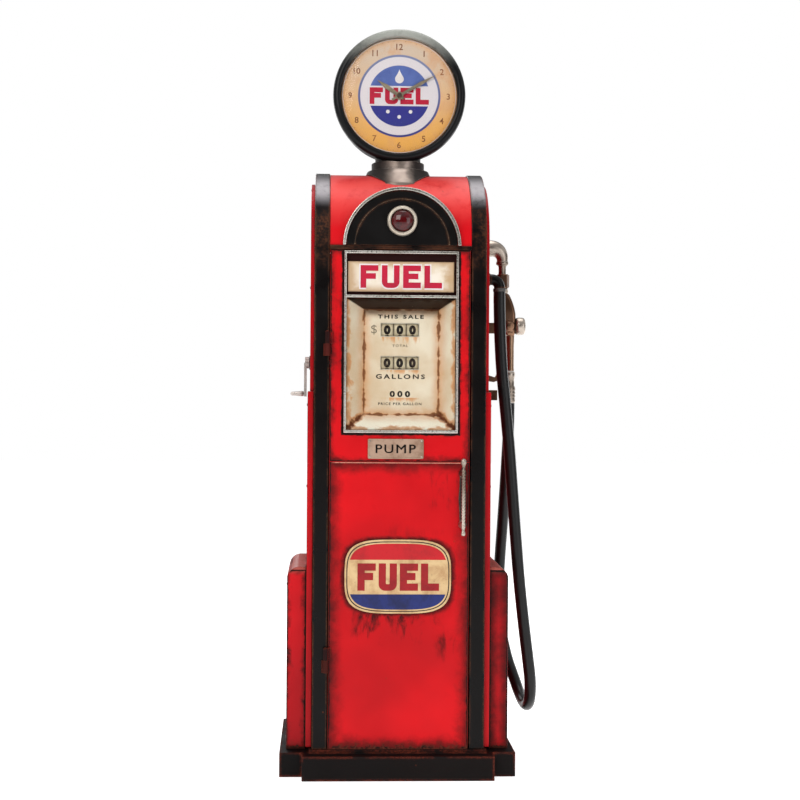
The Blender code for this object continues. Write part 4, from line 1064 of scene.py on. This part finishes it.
def make_nozzle():
    y = NOZZLE_Y
    path = rounded_path([(206, y, SPOUT_Z), (SPOUT_X, y, SPOUT_Z), (SPOUT_X, y, 1157)], 26, 16)
    radii = [19.4] + [19.3 - 6.1 * (i / 16) ** 1.3 for i in range(17)] + [12.9]
    tip = [(0, 165), (13.4, 165), (14.6, 167), (16.8, 174), (17, 205), (19.3, 206), (19.8, 208), (19.8, 212),
           (19.3, 214), (0, 214)]
    neck = [(0, 1130.6), (8.8, 1130.6), (8.8, 1147), (10, 1150.4), (13.6, 1152.4), (14.7, 1154),
            (14.7, 1158.6), (13.8, 1160), (0, 1160)]
    parts = [dress(tube(path, radii, 40), "steel"), turned("steel", tip, "x", (y, SPOUT_Z), 40, 50),
             turned("steel", neck, "z", (SPOUT_X, y), 40, 50)]
    stand_in(parts, "nozzle_spout")
    nut = (SPOUT_X + 1.5, y)
    parts = [dress(prism(circle(15.9, nut, 6), "z", 1099, 1128.6), "copper", 1.6, 3)]
    for low, high, r in ((1097.6, 1100, 13.2), (1127.6, 1129.9, 13)):
        parts.append(turned("copper", [(0, low), (r, low), (r, high), (0, high)], "z", nut, 40))
    ring = [(0, 1083.5), (10.6, 1084.2), (13, 1086.2), (13.6, 1089.5), (13, 1093), (11, 1097), (0, 1098)]
    shell = [(243, 1086), (241.5, 1076), (240.6, 1056), (240.6, 1036), (245, 1022), (251, 1008), (256, 996),
             (260, 984),
             (282, 984), (283.4, 996), (284, 1016), (283.8, 1036), (281, 1050), (277, 1063), (271.5, 1076),
             (266, 1086)]
    port = [(0, 26), (7, 26), (8.2, 26.6), (8.8, 28.6), (11.4, 29.6), (11.8, 33), (14.4, 35), (14.9, 37),
            (14.9, 41), (0, 41)]
    knob = [(0, 275), (9.4, 275), (9.6, 281.5), (13, 283.2), (18.4, 284.6), (20, 287), (20.6, 292),
            (20.6, 299), (19.6, 303), (17, 305.6), (12, 306.7), (0, 307)]
    handle = [(0, 901.6), (9, 901.6), (9.2, 905), (8.6, 909), (8.6, 962), (9.2, 972), (9.2, 990), (0, 994)]
    pin = [(0, 260.6), (3.3, 260.8), (3.3, 262.4), (2.4, 262.6), (2.4, 277.4), (3.3, 277.6), (3.3, 279.2),
           (0, 279.4)]
    parts += [turned("bezel", ring, "z", (SPOUT_X + 1, y), 40, 60),
              dress(prism(shell, "y", 37.4, 62.6), "copper", 7.5, 6, 50),
              turned("copper", port, "y", (267, 1007), 40, 50),
              turned("steel", knob, "x", (y, 1007.5), 56, 60),
              turned("brass", handle, "z", (272.3, y), 32, 60)]
    parts += [dress(block(x, x + 3.5, 58, 76, 1026, 1042), "brass", 1.2, 3) for x in (262, 274.5)]
    parts.append(turned("steel", pin, "x", (70, 1034), 20))
    stand_in(parts, "nozzle_body")
    refined("nozzle_lever", "brass", 1.0, 3)
    z = FERRULE[2]
    sleeve = [(0, z + 0.6), (13.6, z + 0.6), (14.8, z + 4), (14.8, z + 9)]
    for k in range(3):
        sleeve += [(14, z + 11 + 8 * k), (14, z + 13 + 8 * k), (14.8, z + 15 + 8 * k), (14.8, z + 17 + 8 * k)]
    sleeve += [(14.6, 863), (12.3, 867), (12.3, 885), (13.8, 887), (13.8, 898), (11, 900.7), (0, 900.7)]
    show(turned("steel", sleeve, "z", (HOSE_X, y), 40, 50), "ferrule_look", "nozzle", "ferrule_metal",
         "hose_ferrule")


def make_machinery():
    refined("motor", "motor_paint", 1.6, 3)
    refined("motor_pulley", "iron")
    refined("pump_pulley", "iron")
    refined("drive_belt", "belt", 1.2)
    refined("pump_unit", "pump_paint", 1.4)
    refined("meter", "motor_paint", 1.4)
    refined("meter_shaft", "pipe", 0.6)
    refined("delivery_pipe", "pipe", 0.0)


def make_fixings():
    for way, side in ((-1, "left"), (1, "right")):
        screw_heads(side + "_panel_screws", "x", way * 199, (-128, 128), (900, 1080), [(0, 1316)])
        screw_heads(side + "_lower_screws", "x", way * 204, (-139, 139), (480, 640, 820))
        screw_heads(side + "_skirt_screws", "x", way * 247, (-118, 118), (80, 420))
    screw_heads("rear_screws", "y", 163, (-145, 145), (90, 360, 640, 900, 1150))


make_camera()
LOOK = make_materials()
make_studio()
make_hose()
make_cabinet()
make_clock()
make_door()
make_display()
make_left_side()
make_right_side()
make_machinery()
make_fixings()
